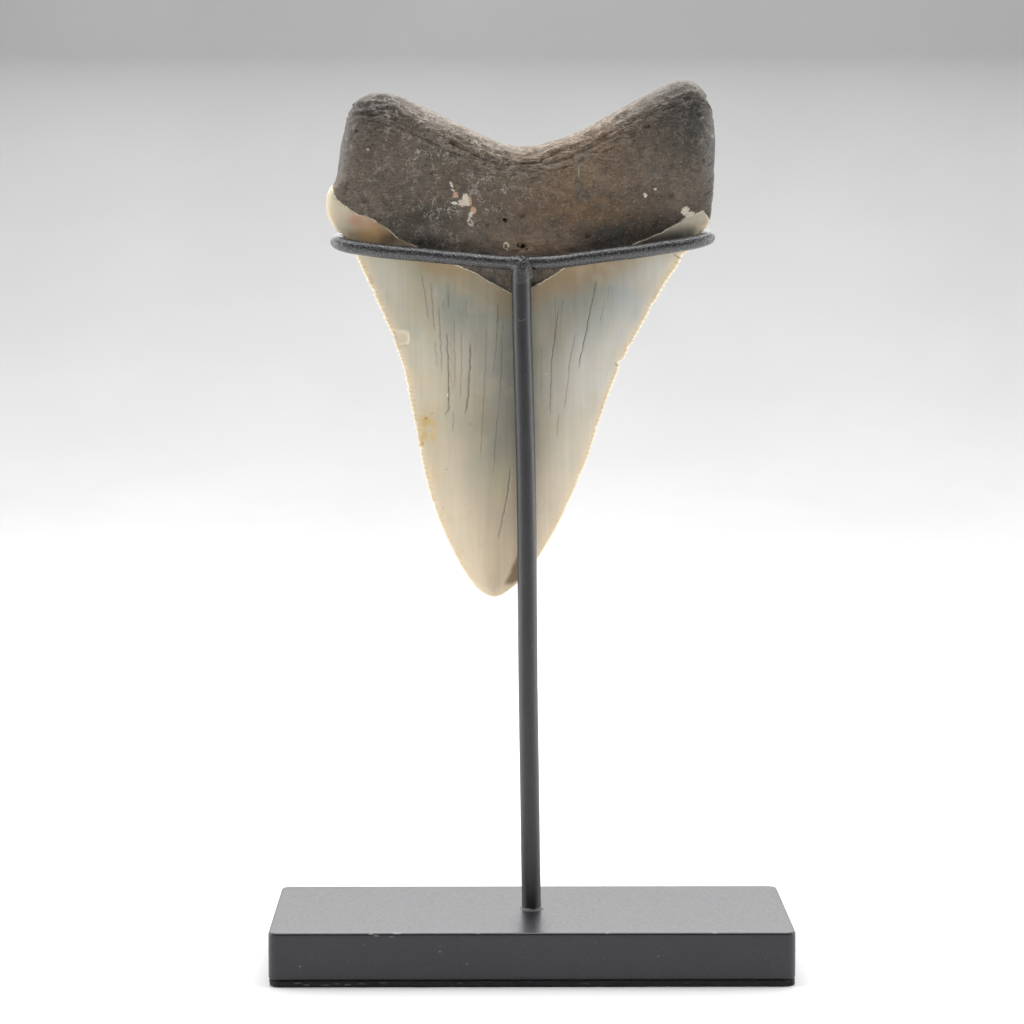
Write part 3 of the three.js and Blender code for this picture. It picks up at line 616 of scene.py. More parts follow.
    for name, a in (("f_root", f_root), ("f_enamel", f_enamel), ("f_edge", edge * (1 - W) + 9 * W), ("f_crack", f_crack),
                    ("f_crackm", crack_m), ("f_crack2", f_crack2), ("f_crackm2", crack_m2), ("f_crack3", f_crack3), ("f_crackm3", crack_m3), ("f_groove", groove), ("f_rim", DZ), ("f_front", front), ("f_mid", mid * (1 - low)), ("f_high", Z)):
        at = mesh.attributes.new(name, "FLOAT", "POINT")
        at.data.foreach_set("value", np.ascontiguousarray(flat(a), np.float32).ravel())
    at = mesh.attributes.new("tint", "FLOAT_COLOR", "POINT")
    rgba = np.concatenate([flat(c), np.ones((len(verts), 1))], 1)
    at.data.foreach_set("color", np.ascontiguousarray(rgba, np.float32).ravel())
    ob = bpy.data.objects.new("fossil_tooth", mesh)
    bpy.context.scene.collection.objects.link(ob)
    return ob


# Small marks on the flat face: x, z, half width, half height, turn (degrees), colour, strength.
SPOTS = [
    (-13.45, 133.25, .22, .55, 25, (0.82, 0.76, 0.64), 1), (-13.15, 132.35, .38, .16, -20, (0.80, 0.74, 0.62), .9),
    (-12.76, 131.55, .46, .50, 0, (0.68, 0.44, 0.30), 1), (-12.45, 132.6, .16, .5, -10, (0.30, 0.17, 0.10), .9),
    (-12.95, 130.2, .62, .26, -8, (0.84, 0.80, 0.70), 1), (-11.05, 131.0, .55, .75, 20, (0.90, 0.80, 0.68), 1),
    (-11.6, 130.2, .72, .55, 0, (0.86, 0.70, 0.58), 1), (-10.75, 130.15, .55, .5, 30, (0.90, 0.78, 0.66), 1),
    (-10.25, 130.6, .22, .85, 5, (0.72, 0.46, 0.22), .9), (-9.75, 129.0, .52, .55, 0, (0.70, 0.46, 0.30), 1),
    (-10.2, 128.3, .38, .42, 0, (0.84, 0.74, 0.64), .9), (-10.55, 127.5, .18, .75, -22, (0.66, 0.60, 0.50), 1),
    (-10.35, 126.6, .6, .16, -25, (0.62, 0.56, 0.47), .9), (-10.0, 127.0, .15, .5, 30, (0.60, 0.54, 0.45), .8),
    (19.38, 131.57, .30, .42, 20, (0.78, 0.70, 0.60), 1), (21.07, 132.59, .24, .24, 0, (0.78, 0.70, 0.60), .9),
    (26.35, 128.9, .55, .75, -30, (0.88, 0.80, 0.66), 1), (27.05, 128.35, .95, .42, 10, (0.86, 0.78, 0.66), 1),
    (26.9, 129.2, .3, .3, 0, (0.80, 0.66, 0.48), .8), (25.0, 131.6, .9, .5, 30, (0.30, 0.21, 0.12), .22),
    (24.4, 134.4, .7, 1.1, 20, (0.30, 0.22, 0.13), .22), (8.1, 135.6, .13, 1.2, 0, (0.40, 0.42, 0.26), .7),
    (-4.39, 127.35, .36, .34, 0, (0.006, 0.005, 0.004), 1), (-4.5, 126.85, .16, .3, 0, (0.20, 0.09, 0.06), .7),
    (-1.35, 122.9, .42, .36, 0, (0.006, 0.005, 0.004), 1), (-2.2, 123.0, .18, .3, 0, (0.02, 0.014, 0.01), .9),
    (-0.7, 122.4, .25, .2, 0, (0.02, 0.014, 0.01), .9), (-27.6, 139.2, .22, .22, 0, (0.62, 0.50, 0.34), .9),
    (-30.6, 141.0, .3, .2, 0, (0.05, 0.04, 0.03), .8), (-14.2, 97.6, .16, .3, 0, (0.85, 0.82, 0.74), .9),
    (-14.4, 84.9, .12, .12, 0, (0.20, 0.16, 0.11), .6), (-15.0, 78.3, .10, .14, 0, (0.22, 0.17, 0.11), .6),
    (2.6, 101.2, .40, .05, 12, (0.80, 0.80, 0.74), .5), (-10.3, 92.6, .34, .34, 0, (0.50, 0.32, 0.14), .7),
    (-17.5, 91.5, 1.6, 2.4, 0, (0.70, 0.55, 0.30), .9), (-18.0, 93.0, .9, 1.0, 20, (0.62, 0.43, 0.16), .8),
    (-18.2, 90.5, .7, 1.2, -15, (0.64, 0.46, 0.19), .8), (-16.7, 92.9, .6, .9, 0, (0.64, 0.47, 0.21), .6),
    (-16.7, 90.2, .5, .8, 0, (0.66, 0.48, 0.22), .6), (-17.3, 91.6, .55, .85, 0, (0.62, 0.56, 0.42), .85),
    (-17.9, 93.6, .28, .22, 0, (0.52, 0.30, 0.06), .9), (-16.9, 94.4, .35, .22, 30, (0.60, 0.40, 0.16), .7),
    (-18.5, 89.2, .3, .3, 0, (0.60, 0.40, 0.14), .8),
    (30.6, 136.9, .9, .2, 35, (0.03, 0.028, 0.026), .9), (30.7, 134.2, 1.0, .2, 38, (0.03, 0.028, 0.026), .9),
    (30.2, 131.9, .8, .18, 35, (0.035, 0.03, 0.028), .8), (30.9, 139.4, .6, .2, 40, (0.05, 0.046, 0.042), .7),
    (31.0, 141.6, .3, .3, 0, (0.30, 0.29, 0.27), .7), (29.0, 144.6, .35, .18, 30, (0.26, 0.25, 0.23), .6),
]


# ------------------------------------------------------------------ node helper
class Nodes:
    def __init__(self, name):
        self.mat = bpy.data.materials.new(name)
        self.mat.use_nodes = True
        self.tree = self.mat.node_tree
        self.bsdf = next(n for n in self.tree.nodes if n.type == "BSDF_PRINCIPLED")
        self._mm = None

    def put(self, socket, value):
        if value is None:
            return
        if isinstance(value, bpy.types.NodeSocket):
            self.tree.links.new(value, socket)
        elif isinstance(value, (tuple, list)) and socket.type == "RGBA" and len(value) == 3:
            socket.default_value = (*value, 1)
        else:
            socket.default_value = value

    def math(self, op, a, b=None, c=None, clamp=False):
        n = self.tree.nodes.new("ShaderNodeMath")
        n.operation, n.use_clamp = op, clamp
        for s, v in zip(n.inputs, (a, b, c)):
            self.put(s, v)
        return n.outputs[0]

    def vmath(self, op, a, b=None):
        n = self.tree.nodes.new("ShaderNodeVectorMath")
        n.operation = op
        self.put(n.inputs[0], a)
        if b is not None:
            self.put(n.inputs[1], b)
        return n.outputs[0]

    def mm(self, scale=(1, 1, 1), shift=(0, 0, 0)):
        """Object coordinates in millimetres."""
        if self._mm is None:
            co = self.tree.nodes.new("ShaderNodeTexCoord").outputs["Object"]
            self._mm = self.vmath("MULTIPLY", co, (1000, 1000, 1000))
        out = self._mm
        if tuple(scale) != (1, 1, 1):
            out = self.vmath("MULTIPLY", out, scale)
        if tuple(shift) != (0, 0, 0):
            out = self.vmath("ADD", out, shift)
        return out

    def attr(self, name, output="Fac"):
        n = self.tree.nodes.new("ShaderNodeAttribute")
        n.attribute_name = name
        return n.outputs[output]

    def vmath2(self, a):
        n = self.tree.nodes.new("ShaderNodeVectorMath")
        n.operation = "LENGTH"
        self.put(n.inputs[0], a)
        return n.outputs["Value"]

    def dot(self, a, b):
        n = self.tree.nodes.new("ShaderNodeVectorMath")
        n.operation = "DOT_PRODUCT"
        self.put(n.inputs[0], a)
        self.put(n.inputs[1], b)
        return n.outputs["Value"]

    def noise(self, vector, scale=1.0, detail=3.0, rough=0.5, distortion=0.0, output="Fac"):
        n = self.tree.nodes.new("ShaderNodeTexNoise")
        self.put(n.inputs["Vector"], vector)
        for k, v in (("Scale", scale), ("Detail", detail), ("Roughness", rough), ("Distortion", distortion)):
            n.inputs[k].default_value = v
        return n.outputs[output]

    def voronoi(self, vector, scale=1.0, feature="F1", output="Distance", randomness=1.0):
        n = self.tree.nodes.new("ShaderNodeTexVoronoi")
        n.feature = feature
        self.put(n.inputs["Vector"], vector)
        n.inputs["Scale"].default_value = scale
        n.inputs["Randomness"].default_value = randomness
        return n.outputs[output]

    def ramp(self, value, a, b, lo=0.0, hi=1.0, kind="SMOOTHSTEP"):
        n = self.tree.nodes.new("ShaderNodeMapRange")
        n.interpolation_type = kind
        self.put(n.inputs["Value"], value)
        for k, v in (("From Min", a), ("From Max", b), ("To Min", lo), ("To Max", hi)):
            n.inputs[k].default_value = v
        return n.outputs["Result"]

    def mix(self, fac, a, b, mode="MIX"):
        n = self.tree.nodes.new("ShaderNodeMix")
        n.data_type, n.blend_type = "RGBA", mode
        n.clamp_factor = True
        self.put(n.inputs[0], fac)
        self.put(n.inputs[6], a)
        self.put(n.inputs[7], b)
        return n.outputs[2]

    def fmix(self, fac, a, b):
        n = self.tree.nodes.new("ShaderNodeMix")
        n.data_type = "FLOAT"
        self.put(n.inputs[0], fac)
        self.put(n.inputs[2], a)
        self.put(n.inputs[3], b)
        return n.outputs[0]

    def bump(self, height, strength=1.0, distance=0.001, normal=None):
        n = self.tree.nodes.new("ShaderNodeBump")
        self.put(n.inputs["Height"], height)
        n.inputs["Strength"].default_value = strength
        n.inputs["Distance"].default_value = distance
        if normal is not None:
            self.put(n.inputs["Normal"], normal)
        return n.outputs[0]

    def set(self, **kw):
        for k, v in kw.items():
            self.put(self.bsdf.inputs[k.replace("_", " ")], v)


def tooth_material():
    m = Nodes("fossil_tooth")
    p = m.mm()
    tint = m.attr("tint", "Color")
    f_root, f_enamel, f_edge = m.attr("f_root"), m.attr("f_enamel"), m.attr("f_edge")
    f_crack, f_crackm, f_groove, f_rim = m.attr("f_crack"), m.attr("f_crackm"), m.attr("f_groove"), m.attr("f_rim")

    jag = m.math("MULTIPLY", m.math("SUBTRACT", m.noise(p, 3.2, 3), 0.5), 0.35)
    edge_line = m.math("ADD", f_root, jag)
    is_root = m.ramp(edge_line, -0.04, 0.05)

    # ---- root colour
    fine = m.noise(p, 2.6, 8, 0.72)
    mid = m.noise(p, 0.9, 5, 0.6, 0.4)
    dark = m.ramp(fine, 0.34, 0.66, 0.78, 1.22, "LINEAR")
    root = m.mix(1.0, tint, m.mix(0.0, dark, dark), "MULTIPLY")
    root = m.mix(m.ramp(mid, 0.52, 0.68, 0, 0.62), root, (0.060, 0.054, 0.045))
    root = m.mix(m.ramp(mid, 0.44, 0.3, 0, 0.35), root, (0.20, 0.145, 0.092))

    def veins(scale, width, seed, gate_scale, gate, stretch=(1, 1, 1)):
        v = m.mm(stretch, (seed, seed * 1.7, -seed))
        n = m.noise(v, scale, 1.2, 0.5, 0.7)
        line = m.ramp(m.math("ABSOLUTE", m.math("SUBTRACT", n, 0.5)), width, 0.0)
        g = m.ramp(m.noise(m.mm((1, 1, 1), (seed * 3, 0, 0)), gate_scale, 3, 0.6), gate, gate + 0.08)
        return m.math("MULTIPLY", line, g)

    v1 = veins(0.85, 0.050, 11.0, 0.40, 0.48)
    v2 = veins(1.9, 0.075, 37.0, 0.5, 0.54)
    v3 = veins(1.0, 0.110, 71.0, 0.5, 0.42, (0.45, 1, 1.9))
    root = m.mix(m.ramp(m.voronoi(m.vmath("ADD", p, m.vmath("MULTIPLY", m.noise(p, 0.8, 3, output="Color"), (1.5, 1.5, 1.5))), 0.55, "DISTANCE_TO_EDGE"), 0.0, 0.16, 0.14, 0.0), root, (0.05, 0.043, 0.036))
    near_rim = m.ramp(f_rim, 10, 2)
    along = m.dot(p, (1, 0, 0))
    gaps = m.math("MULTIPLY", m.ramp(m.noise(m.mm((0.8, 1, 1.3), (17, 4, 29)), 1.5, 4, 0.62), 0.50, 0.62), m.ramp(f_rim, 13, 5))
    root = m.mix(m.math("MULTIPLY", gaps, m.ramp(along, 2, 12, 0.62, 0.36)), root, (0.042, 0.036, 0.031))
    curly = m.math("MULTIPLY", m.ramp(along, -6, 4, 1.0, 0.22), m.ramp(along, -30, -20, 0.40, 1.0))
    curly = m.math("MULTIPLY", curly, m.math("MAXIMUM", m.ramp(f_rim, 15, 8, 0.0, 1.0), m.ramp(m.noise(m.mm((1, 1, 1), (60, 0, 0)), 0.16, 2), 0.42, 0.58, 0.42, 1.0)))
    curly = m.math("MULTIPLY", curly, m.ramp(m.attr("f_high"), 123, 130, 0.40, 1.0))
    v1, v2 = m.math("MULTIPLY", v1, curly), m.math("MULTIPLY", v2, curly)
    root = m.mix(m.math("MULTIPLY", v1, 0.95), root, (0.54, 0.475, 0.39))
    root = m.mix(m.math("MULTIPLY", v2, 0.85), root, (0.51, 0.44, 0.355))
    root = m.mix(m.math("MULTIPLY", v3, m.math("MULTIPLY", near_rim, m.ramp(m.math("ABSOLUTE", m.math("ADD", along, 1.0)), 14, 25, 0.80, 0.35))), root, m.mix(m.ramp(m.math("ABSOLUTE", m.math("ADD", along, 1.0)), 10, 22), (0.42, 0.345, 0.26), (0.33, 0.305, 0.28)))
    pit_d = m.voronoi(p, 0.95)
    pit_c = m.voronoi(p, 0.95, output="Color")
    pit = m.math("MULTIPLY", m.ramp(pit_d, 0.2, 0.08), m.ramp(pit_c, 0.66, 0.71))
    root = m.mix(m.math("MULTIPLY", pit, 0.6), root, (0.026, 0.021, 0.017))
    spk_d = m.voronoi(m.mm((1, 1, 1), (5, 3, 8)), 1.25)
    spk_c = m.voronoi(m.mm((1, 1, 1), (5, 3, 8)), 1.25, output="Color")
    spk = m.math("MULTIPLY", m.ramp(spk_d, 0.135, 0.055), m.ramp(spk_c, 0.52, 0.56))
    root = m.mix(m.math("MULTIPLY", spk, 0.80), root, (0.52, 0.44, 0.32))
    grain = m.noise(p, 2.9, 3, 0.65)
    root = m.mix(m.ramp(grain, 0.55, 0.72, 0, 0.50), root, (0.31, 0.255, 0.20))
    root = m.mix(m.ramp(grain, 0.45, 0.30, 0, 0.50), root, (0.045, 0.038, 0.031))
    thread = m.ramp(m.math("ABSOLUTE", m.math("SUBTRACT", m.noise(m.mm((1, 1, 1), (7, 90, 31)), 1.5, 2, 0.5, 0.5), 0.5)), 0.038, 0.0)
    thread = m.math("MULTIPLY", thread, m.ramp(m.noise(m.mm((1, 1, 1), (33, 2, 5)), 0.9, 2), 0.56, 0.66))
    root = m.mix(m.math("MULTIPLY", thread, m.ramp(m.attr("f_high"), 127, 131, 0.15, 0.50)), root, (0.42, 0.345, 0.26))
    grit = m.noise(p, 9.0, 2, 0.5)
    root = m.mix(m.ramp(grit, 0.62, 0.74, 0, 0.35), root, (0.30, 0.27, 0.225))

    # ---- enamel colour
    soft = m.noise(p, 0.22, 4, 0.55)
    flute = m.noise(m.mm((1.5, 0.2, 0.07)), 1.0, 3, 0.55)
    crown = m.mix(1.0, tint, m.mix(0.0, m.ramp(flute, 0.3, 0.7, 0.96, 1.04, "LINEAR"), m.ramp(flute, 0.3, 0.7, 0.96, 1.04, "LINEAR")), "MULTIPLY")
    crown = m.mix(m.ramp(soft, 0.5, 0.68, 0, 0.22), crown, (0.60, 0.50, 0.36))
    crown = m.mix(m.ramp(m.noise(p, 1.4, 4, 0.6), 0.55, 0.75, 0, 0.12), crown, (0.27, 0.27, 0.22))
    fleck = m.math("MULTIPLY", m.ramp(m.voronoi(m.mm((1, 1, 1), (9, 9, 9)), 0.42), 0.07, 0.03),
                   m.ramp(m.voronoi(m.mm((1, 1, 1), (9, 9, 9)), 0.42, output="Color"), 0.6, 0.64))
    crown = m.mix(m.math("MULTIPLY", fleck, 0.5), crown, (0.20, 0.16, 0.11))
    # serrated rim: a paler cream edge, partly the enamel's own colour, partly painted glow of light through the thin
    # edge; the outermost band is brightest
    rim = m.ramp(m.math("ADD", f_edge, m.math("MULTIPLY", m.noise(p, 2.0, 2), 0.5)), 0.95, 0.45)
    rim_hue = m.mix(m.ramp(m.noise(p, 1.1, 2), 0.45, 0.65), (0.90, 0.76, 0.52), (0.84, 0.62, 0.33))
    crown = m.mix(m.math("MULTIPLY", rim, 0.85), crown, rim_hue)
    crown = m.mix(m.ramp(f_edge, 0.35, 0.12, 0.0, 0.8), crown, (1.0, 0.90, 0.68))
    crown = m.mix(m.math("MULTIPLY", f_groove, 0.70), crown, (0.50, 0.34, 0.17))
    # edge of the enamel against the root: thin light line, partly the enamel's pale edge, partly a painted highlight
    # where its raised lip catches light from above
    lip = m.math("MULTIPLY", m.ramp(edge_line, -0.21, -0.13), m.ramp(edge_line, 0.03, -0.03))
    lip = m.math("MULTIPLY", lip, m.math("MAXIMUM", m.ramp(m.attr("f_high"), 121.5, 119.0), m.ramp(m.noise(p, 0.35, 2), 0.38, 0.56, 0.12, 0.8)))
    crown = m.mix(m.math("MULTIPLY", lip, 0.95), crown, (0.97, 0.89, 0.70))
    # cracks
    width = m.ramp(m.noise(m.mm((0.3, 0.3, 1.2)), 1.0, 2), 0.3, 0.7, 0.013, 0.054, "LINEAR")
    wob = m.math("MULTIPLY", m.math("SUBTRACT", m.noise(m.mm((0.6, 0.6, 1.0)), 2.4, 3), 0.5), 0.15)
    core = halo = dent = None
    for fd, fm in ((f_crack, f_crackm), (m.attr("f_crack2"), m.attr("f_crackm2")), (m.attr("f_crack3"), m.attr("f_crackm3"))):
        dist = m.math("ABSOLUTE", m.math("ADD", fd, wob))
        k1 = m.math("MULTIPLY", m.ramp(m.math("SUBTRACT", dist, width), 0.02, -0.02), m.math("POWER", fm, 1.05))
        k2 = m.math("MULTIPLY", m.ramp(dist, 0.40, 0.05), fm)
        k3 = m.math("MULTIPLY", m.ramp(dist, 0.16, 0.02), fm)
        core = k1 if core is None else m.math("MAXIMUM", core, k1)
        halo = k2 if halo is None else m.math("MAXIMUM", halo, k2)
        dent = k3 if dent is None else m.math("MAXIMUM", dent, k3)
    crown = m.mix(m.math("MULTIPLY", halo, 0.20), crown, (0.16, 0.145, 0.115))
    crown = m.mix(m.math("MULTIPLY", core, 0.90), crown, (0.055, 0.048, 0.038))
    # hair-fine lines all through the middle of the enamel
    hair_n = m.noise(m.mm((1.0, 0.35, 0.036), (3.1, 0, 7.7)), 0.95, 1.5, 0.45)
    hair = m.ramp(m.math("ABSOLUTE", m.math("SUBTRACT", hair_n, 0.5)), 0.018, 0.004)
    hair = m.math("MULTIPLY", hair, m.ramp(m.noise(m.mm((0.25, 0.25, 0.12), (20, 0, 0)), 1.0, 2), 0.47, 0.62))
    hair = m.math("MULTIPLY", hair, m.math("MULTIPLY", m.ramp(m.attr("f_mid"), 0.35, 0.8), m.ramp(f_root, -2.0, -6.0)))
    crown = m.mix(m.math("MULTIPLY", hair, 0.34), crown, (0.10, 0.09, 0.07))
    bour = m.ramp(f_enamel, 0.10, -0.10)

    colour = m.mix(is_root, crown, root)
    ring = m.math("ABSOLUTE", m.math("SUBTRACT", m.vmath2(m.vmath("MULTIPLY", m.vmath("SUBTRACT", p, (-4.23, 0, 122.84)), (2.1, 0, 1.45))), 0.85))
    ring = m.math("MULTIPLY", m.ramp(m.math("ADD", ring, m.math("MULTIPLY", m.math("SUBTRACT", m.noise(p, 1.9, 2), 0.42), 1.5)), 0.40, 0.15), m.attr("f_front"))
    colour = m.mix(ring, colour, (0.84, 0.77, 0.60))
    cd = m.vmath("SUBTRACT", p, (-22.05, 0, 107.35))
    cu, cv = m.dot(cd, (0.70, 0, 0.10)), m.dot(cd, (-0.06, 0, 0.78))
    c4 = m.math("POWER", m.math("ADD", m.math("POWER", m.math("ABSOLUTE", cu), 3.0), m.math("POWER", m.math("ABSOLUTE", cv), 3.0)), 0.3333)
    c4 = m.math("ADD", c4, m.math("MULTIPLY", jag, 0.9))
    inside = m.math("MULTIPLY", m.ramp(c4, 1.12, 0.80), m.attr("f_front"))
    colour = m.mix(m.math("MULTIPLY", inside, 0.70), colour, (0.74, 0.63, 0.46))
    bright = m.math("MULTIPLY", m.ramp(c4, 0.62, 0.92), m.ramp(m.math("SUBTRACT", cu, cv), -0.5, 0.9))
    colour = m.mix(m.math("MULTIPLY", m.math("MULTIPLY", inside, bright), 0.65), colour, (0.95, 0.85, 0.66))
    ragged = m.math("MULTIPLY", m.math("SUBTRACT", m.noise(p, 2.6, 4, 0.65), 0.5), 2.2)
    cloud = m.math("MULTIPLY", m.math("SUBTRACT", m.noise(p, 1.3, 4, 0.65), 0.5), 1.9)
    for x0, z0, hx, hz, turn, hue, much in SPOTS:
        a = math.radians(turn)
        d = m.vmath("SUBTRACT", p, (x0, 0, z0))
        u = m.math("DIVIDE", m.dot(d, (math.cos(a), 0, math.sin(a))), hx)
        v = m.math("DIVIDE", m.dot(d, (-math.sin(a), 0, math.cos(a))), hz)
        far = m.math("SQRT", m.math("ADD", m.math("MULTIPLY", u, u), m.math("MULTIPLY", v, v)))
        if -20 < x0 < -15 and 88 < z0 < 95 and hx > 0.45:
            w = m.ramp(m.math("ADD", far, cloud), 1.45, 0.25, 0.0, much)
        else:
            w = m.ramp(m.math("ADD", far, ragged), 1.25, 0.75, 0.0, much)
        w = m.math("MULTIPLY", w, m.attr("f_front"))
        colour = m.mix(w, colour, hue)
    # ---- gloss and relief
    r_root = m.ramp(fine, 0.3, 0.7, 0.50, 0.80, "LINEAR")
    r_crown = m.ramp(m.noise(p, 1.8, 4, 0.6), 0.3, 0.7, 0.30, 0.46, "LINEAR")
    r_crown = m.fmix(bour, r_crown, 0.5)
    rough = m.fmix(is_root, r_crown, r_root)
    h_root = m.math("ADD", m.math("MULTIPLY", fine, 0.30), m.math("MULTIPLY", m.math("ADD", v1, m.math("ADD", v2, v3)), 0.12))
    h_root = m.math("SUBTRACT", h_root, m.math("MULTIPLY", pit, 0.22))
    h_root = m.math("ADD", h_root, m.math("ADD", m.math("MULTIPLY", grit, 0.05), m.math("MULTIPLY", grain, 0.16)))
    h_crown = m.math("ADD", m.math("MULTIPLY", flute, 0.018), m.math("MULTIPLY", m.noise(p, 5.0, 3), 0.012))
    h_crown = m.math("SUBTRACT", h_crown, m.math("MULTIPLY", dent, 0.10))
    height = m.fmix(is_root, h_crown, h_root)
    m.set(Base_Color=colour, Roughness=rough, Normal=m.bump(height, 1.0, 0.001))
    m.bsdf.inputs["Specular IOR Level"].default_value = 0.45
    m.bsdf.inputs["IOR"].default_value = 1.5
    return m.mat


# ------------------------------------------------------------------ swept bars
def catmull(points, n):
    """Evenly spaced points on a centripetal Catmull-Rom curve, as three.js makes it."""
    p = np.array(points, float)
    p = np.concatenate([[2 * p[0] - p[1]], p, [2 * p[-1] - p[-2]]])
    out = []
    for i in range(1, len(p) - 2):
        p0, p1, p2, p3 = p[i - 1:i + 3]
        t0 = 0
        t1 = t0 + max(np.linalg.norm(p1 - p0) ** 0.5, 1e-4)
        t2 = t1 + max(np.linalg.norm(p2 - p1) ** 0.5, 1e-4)
        t3 = t2 + max(np.linalg.norm(p3 - p2) ** 0.5, 1e-4)
        for t in np.linspace(t1, t2, 40, endpoint=False):
            a1 = (t1 - t) / (t1 - t0) * p0 + (t - t0) / (t1 - t0) * p1
            a2 = (t2 - t) / (t2 - t1) * p1 + (t - t1) / (t2 - t1) * p2
            a3 = (t3 - t) / (t3 - t2) * p2 + (t - t2) / (t3 - t2) * p3
            b1 = (t2 - t) / (t2 - t0) * a1 + (t - t0) / (t2 - t0) * a2
            b2 = (t3 - t) / (t3 - t1) * a2 + (t - t1) / (t3 - t1) * a3
            out.append((t2 - t) / (t2 - t1) * b1 + (t - t1) / (t2 - t1) * b2)
    out.append(p[-2])
    out = np.array(out)
    s = np.concatenate([[0], np.cumsum(np.linalg.norm(np.diff(out, axis=0), axis=1))])
    q = np.linspace(0, s[-1], n)
    return np.stack([np.interp(q, s, out[:, k]) for k in range(3)], -1), q


def bar(name, points, radius, steps, sides, rough=0.0, seed=0, reference=(0, 0, 1), end_round=0.35, ends=(True, True)):
    c, s = catmull(points, steps)
    tan = np.gradient(c, axis=0)
    tan /= np.linalg.norm(tan, axis=1, keepdims=True)
    side = np.cross(tan, np.array(reference, float))
    side /= np.linalg.norm(side, axis=1, keepdims=True)
    up = np.cross(side, tan)
    a = np.linspace(0, 2 * np.pi, sides, endpoint=False)
    ring = side[:, None] * np.cos(a)[None, :, None] + up[:, None] * np.sin(a)[None, :, None]
    centre = c[:, None] + 0 * ring
    q = centre + ring * radius
    r = radius * np.ones(q.shape[:2])
    if rough:
        r = r + rough * np.minimum(0.6 * noise(q / 0.55, seed) + 0.9 * fbm(q / 1.7, 2, seed + 5) + 0.5 * fbm(q / 6.0, 2, seed + 9), 0.0)
    rounding = np.minimum(s if ends[0] else 9, (s[-1] - s) if ends[1] else 9)
    if end_round:
        r = r * (1 - 0.22 * (1 - quarter(rounding / end_round)))[:, None]
    v = centre + ring * r[..., None]
    n = steps
    verts = np.concatenate([v.reshape(-1, 3), c[:1], c[-1:]])
    faces = []
    for i in range(n - 1):
        for j in range(sides):
            k = (j + 1) % sides
            faces.append((i * sides + j, (i + 1) * sides + j, (i + 1) * sides + k, i * sides + k))
    for j in range(sides):
        k = (j + 1) % sides
        faces.append((n * sides, j, k))
        faces.append((n * sides + 1, (n - 1) * sides + k, (n - 1) * sides + j))
    return make(name, verts, faces)


def make(name, verts, faces, smooth_shade=True):
    mesh = bpy.data.meshes.new(name)
    mesh.from_pydata((np.asarray(verts) * MM).tolist(), [], faces)
    mesh.validate()
    if smooth_shade:
        mesh.polygons.foreach_set("use_smooth", np.ones(len(mesh.polygons), bool))
    ob = bpy.data.objects.new(name, mesh)
    bpy.context.scene.collection.objects.link(ob)
    bm = bmesh.new()
    bm.from_mesh(mesh)
    bmesh.ops.recalc_face_normals(bm, faces=bm.faces)
    bm.to_mesh(mesh)
    bm.free()
    return ob


def slab(name, w, d, z0, z1, corner, edge, wave=0.0, seed=0, hole=None):
    """Block with rounded upright corners and softly broken edges; its flat faces have rings that keep them flat."""
    def outline(inset, n_arc=14, n_side=60):
        r = max(corner - inset, 0.02)
        pts = []
        hx, hy = w / 2 - inset, d / 2 - inset
        centres = [(hx - r, -hy + r, -90), (hx - r, hy - r, 0), (-hx + r, hy - r, 90), (-hx + r, -hy + r, 180)]
        for k, (cx, cy, a0) in enumerate(centres):
            for i in range(n_arc + 1):
                a = math.radians(a0 + 90 * i / n_arc)
                pts.append((cx + r * math.cos(a), cy + r * math.sin(a)))
            nx, ny, na = centres[(k + 1) % 4]
            ex, ey = cx + r * math.cos(math.radians(a0 + 90)), cy + r * math.sin(math.radians(a0 + 90))
            sx, sy = nx + r * math.cos(math.radians(na)), ny + r * math.sin(math.radians(na))
            m = n_side if k % 2 else n_side // 2
            for i in range(1, m):
                pts.append((ex + (sx - ex) * i / m, ey + (sy - ey) * i / m))
        return np.array(pts)
    prof = []
    for i in range(7):
        a = math.pi / 2 * i / 6
        prof.append((edge * (1 - math.sin(a)), z0 + edge * (1 - math.cos(a))))
    h = z1 - z0
    for f in (0.08, 0.3, 0.5, 0.7, 0.92):
        prof.append((0.0, z0 + edge + (h - 2 * edge) * f))
    for i in range(7):
        a = math.pi / 2 * (1 - i / 6)
        prof.append((edge * (1 - math.sin(a)), z1 - edge * (1 - math.cos(a))))
    rings = [(0.9 + edge, z0)] + prof + [(0.9 + edge, z1)]
    loops = []
    for inset, z in rings:
        o = outline(inset)
        loops.append(np.column_stack([o, np.full(len(o), z)]))
    V = np.array(loops)
    n = V.shape[1]
    if wave:
        nrm = V[len(V) // 2, :, :2] - np.clip(V[len(V) // 2, :, :2], [-w / 2 + corner, -d / 2 + corner], [w / 2 - corner, d / 2 - corner])
        nrm /= np.linalg.norm(nrm, axis=1, keepdims=True) + 1e-9
        amount = wave * np.clip(0.5 + 0.5 * fbm(V / 1.6, 3, seed) + 0.4 * noise(V / 0.5, seed + 3), 0, 1.2)
        V[..., :2] -= nrm[None] * amount[..., None]
    faces = []
    for i in range(len(V) - 1):
        for j in range(n):
            k = (j + 1) % n
            faces.append((i * n + j, i * n + k, (i + 1) * n + k, (i + 1) * n + j))
    verts = V.reshape(-1, 3)
    faces.append(tuple(reversed(range(n))))
    top = (len(V) - 1) * n
    faces.append(tuple(range(top, top + n)))
    return make(name, verts, faces)


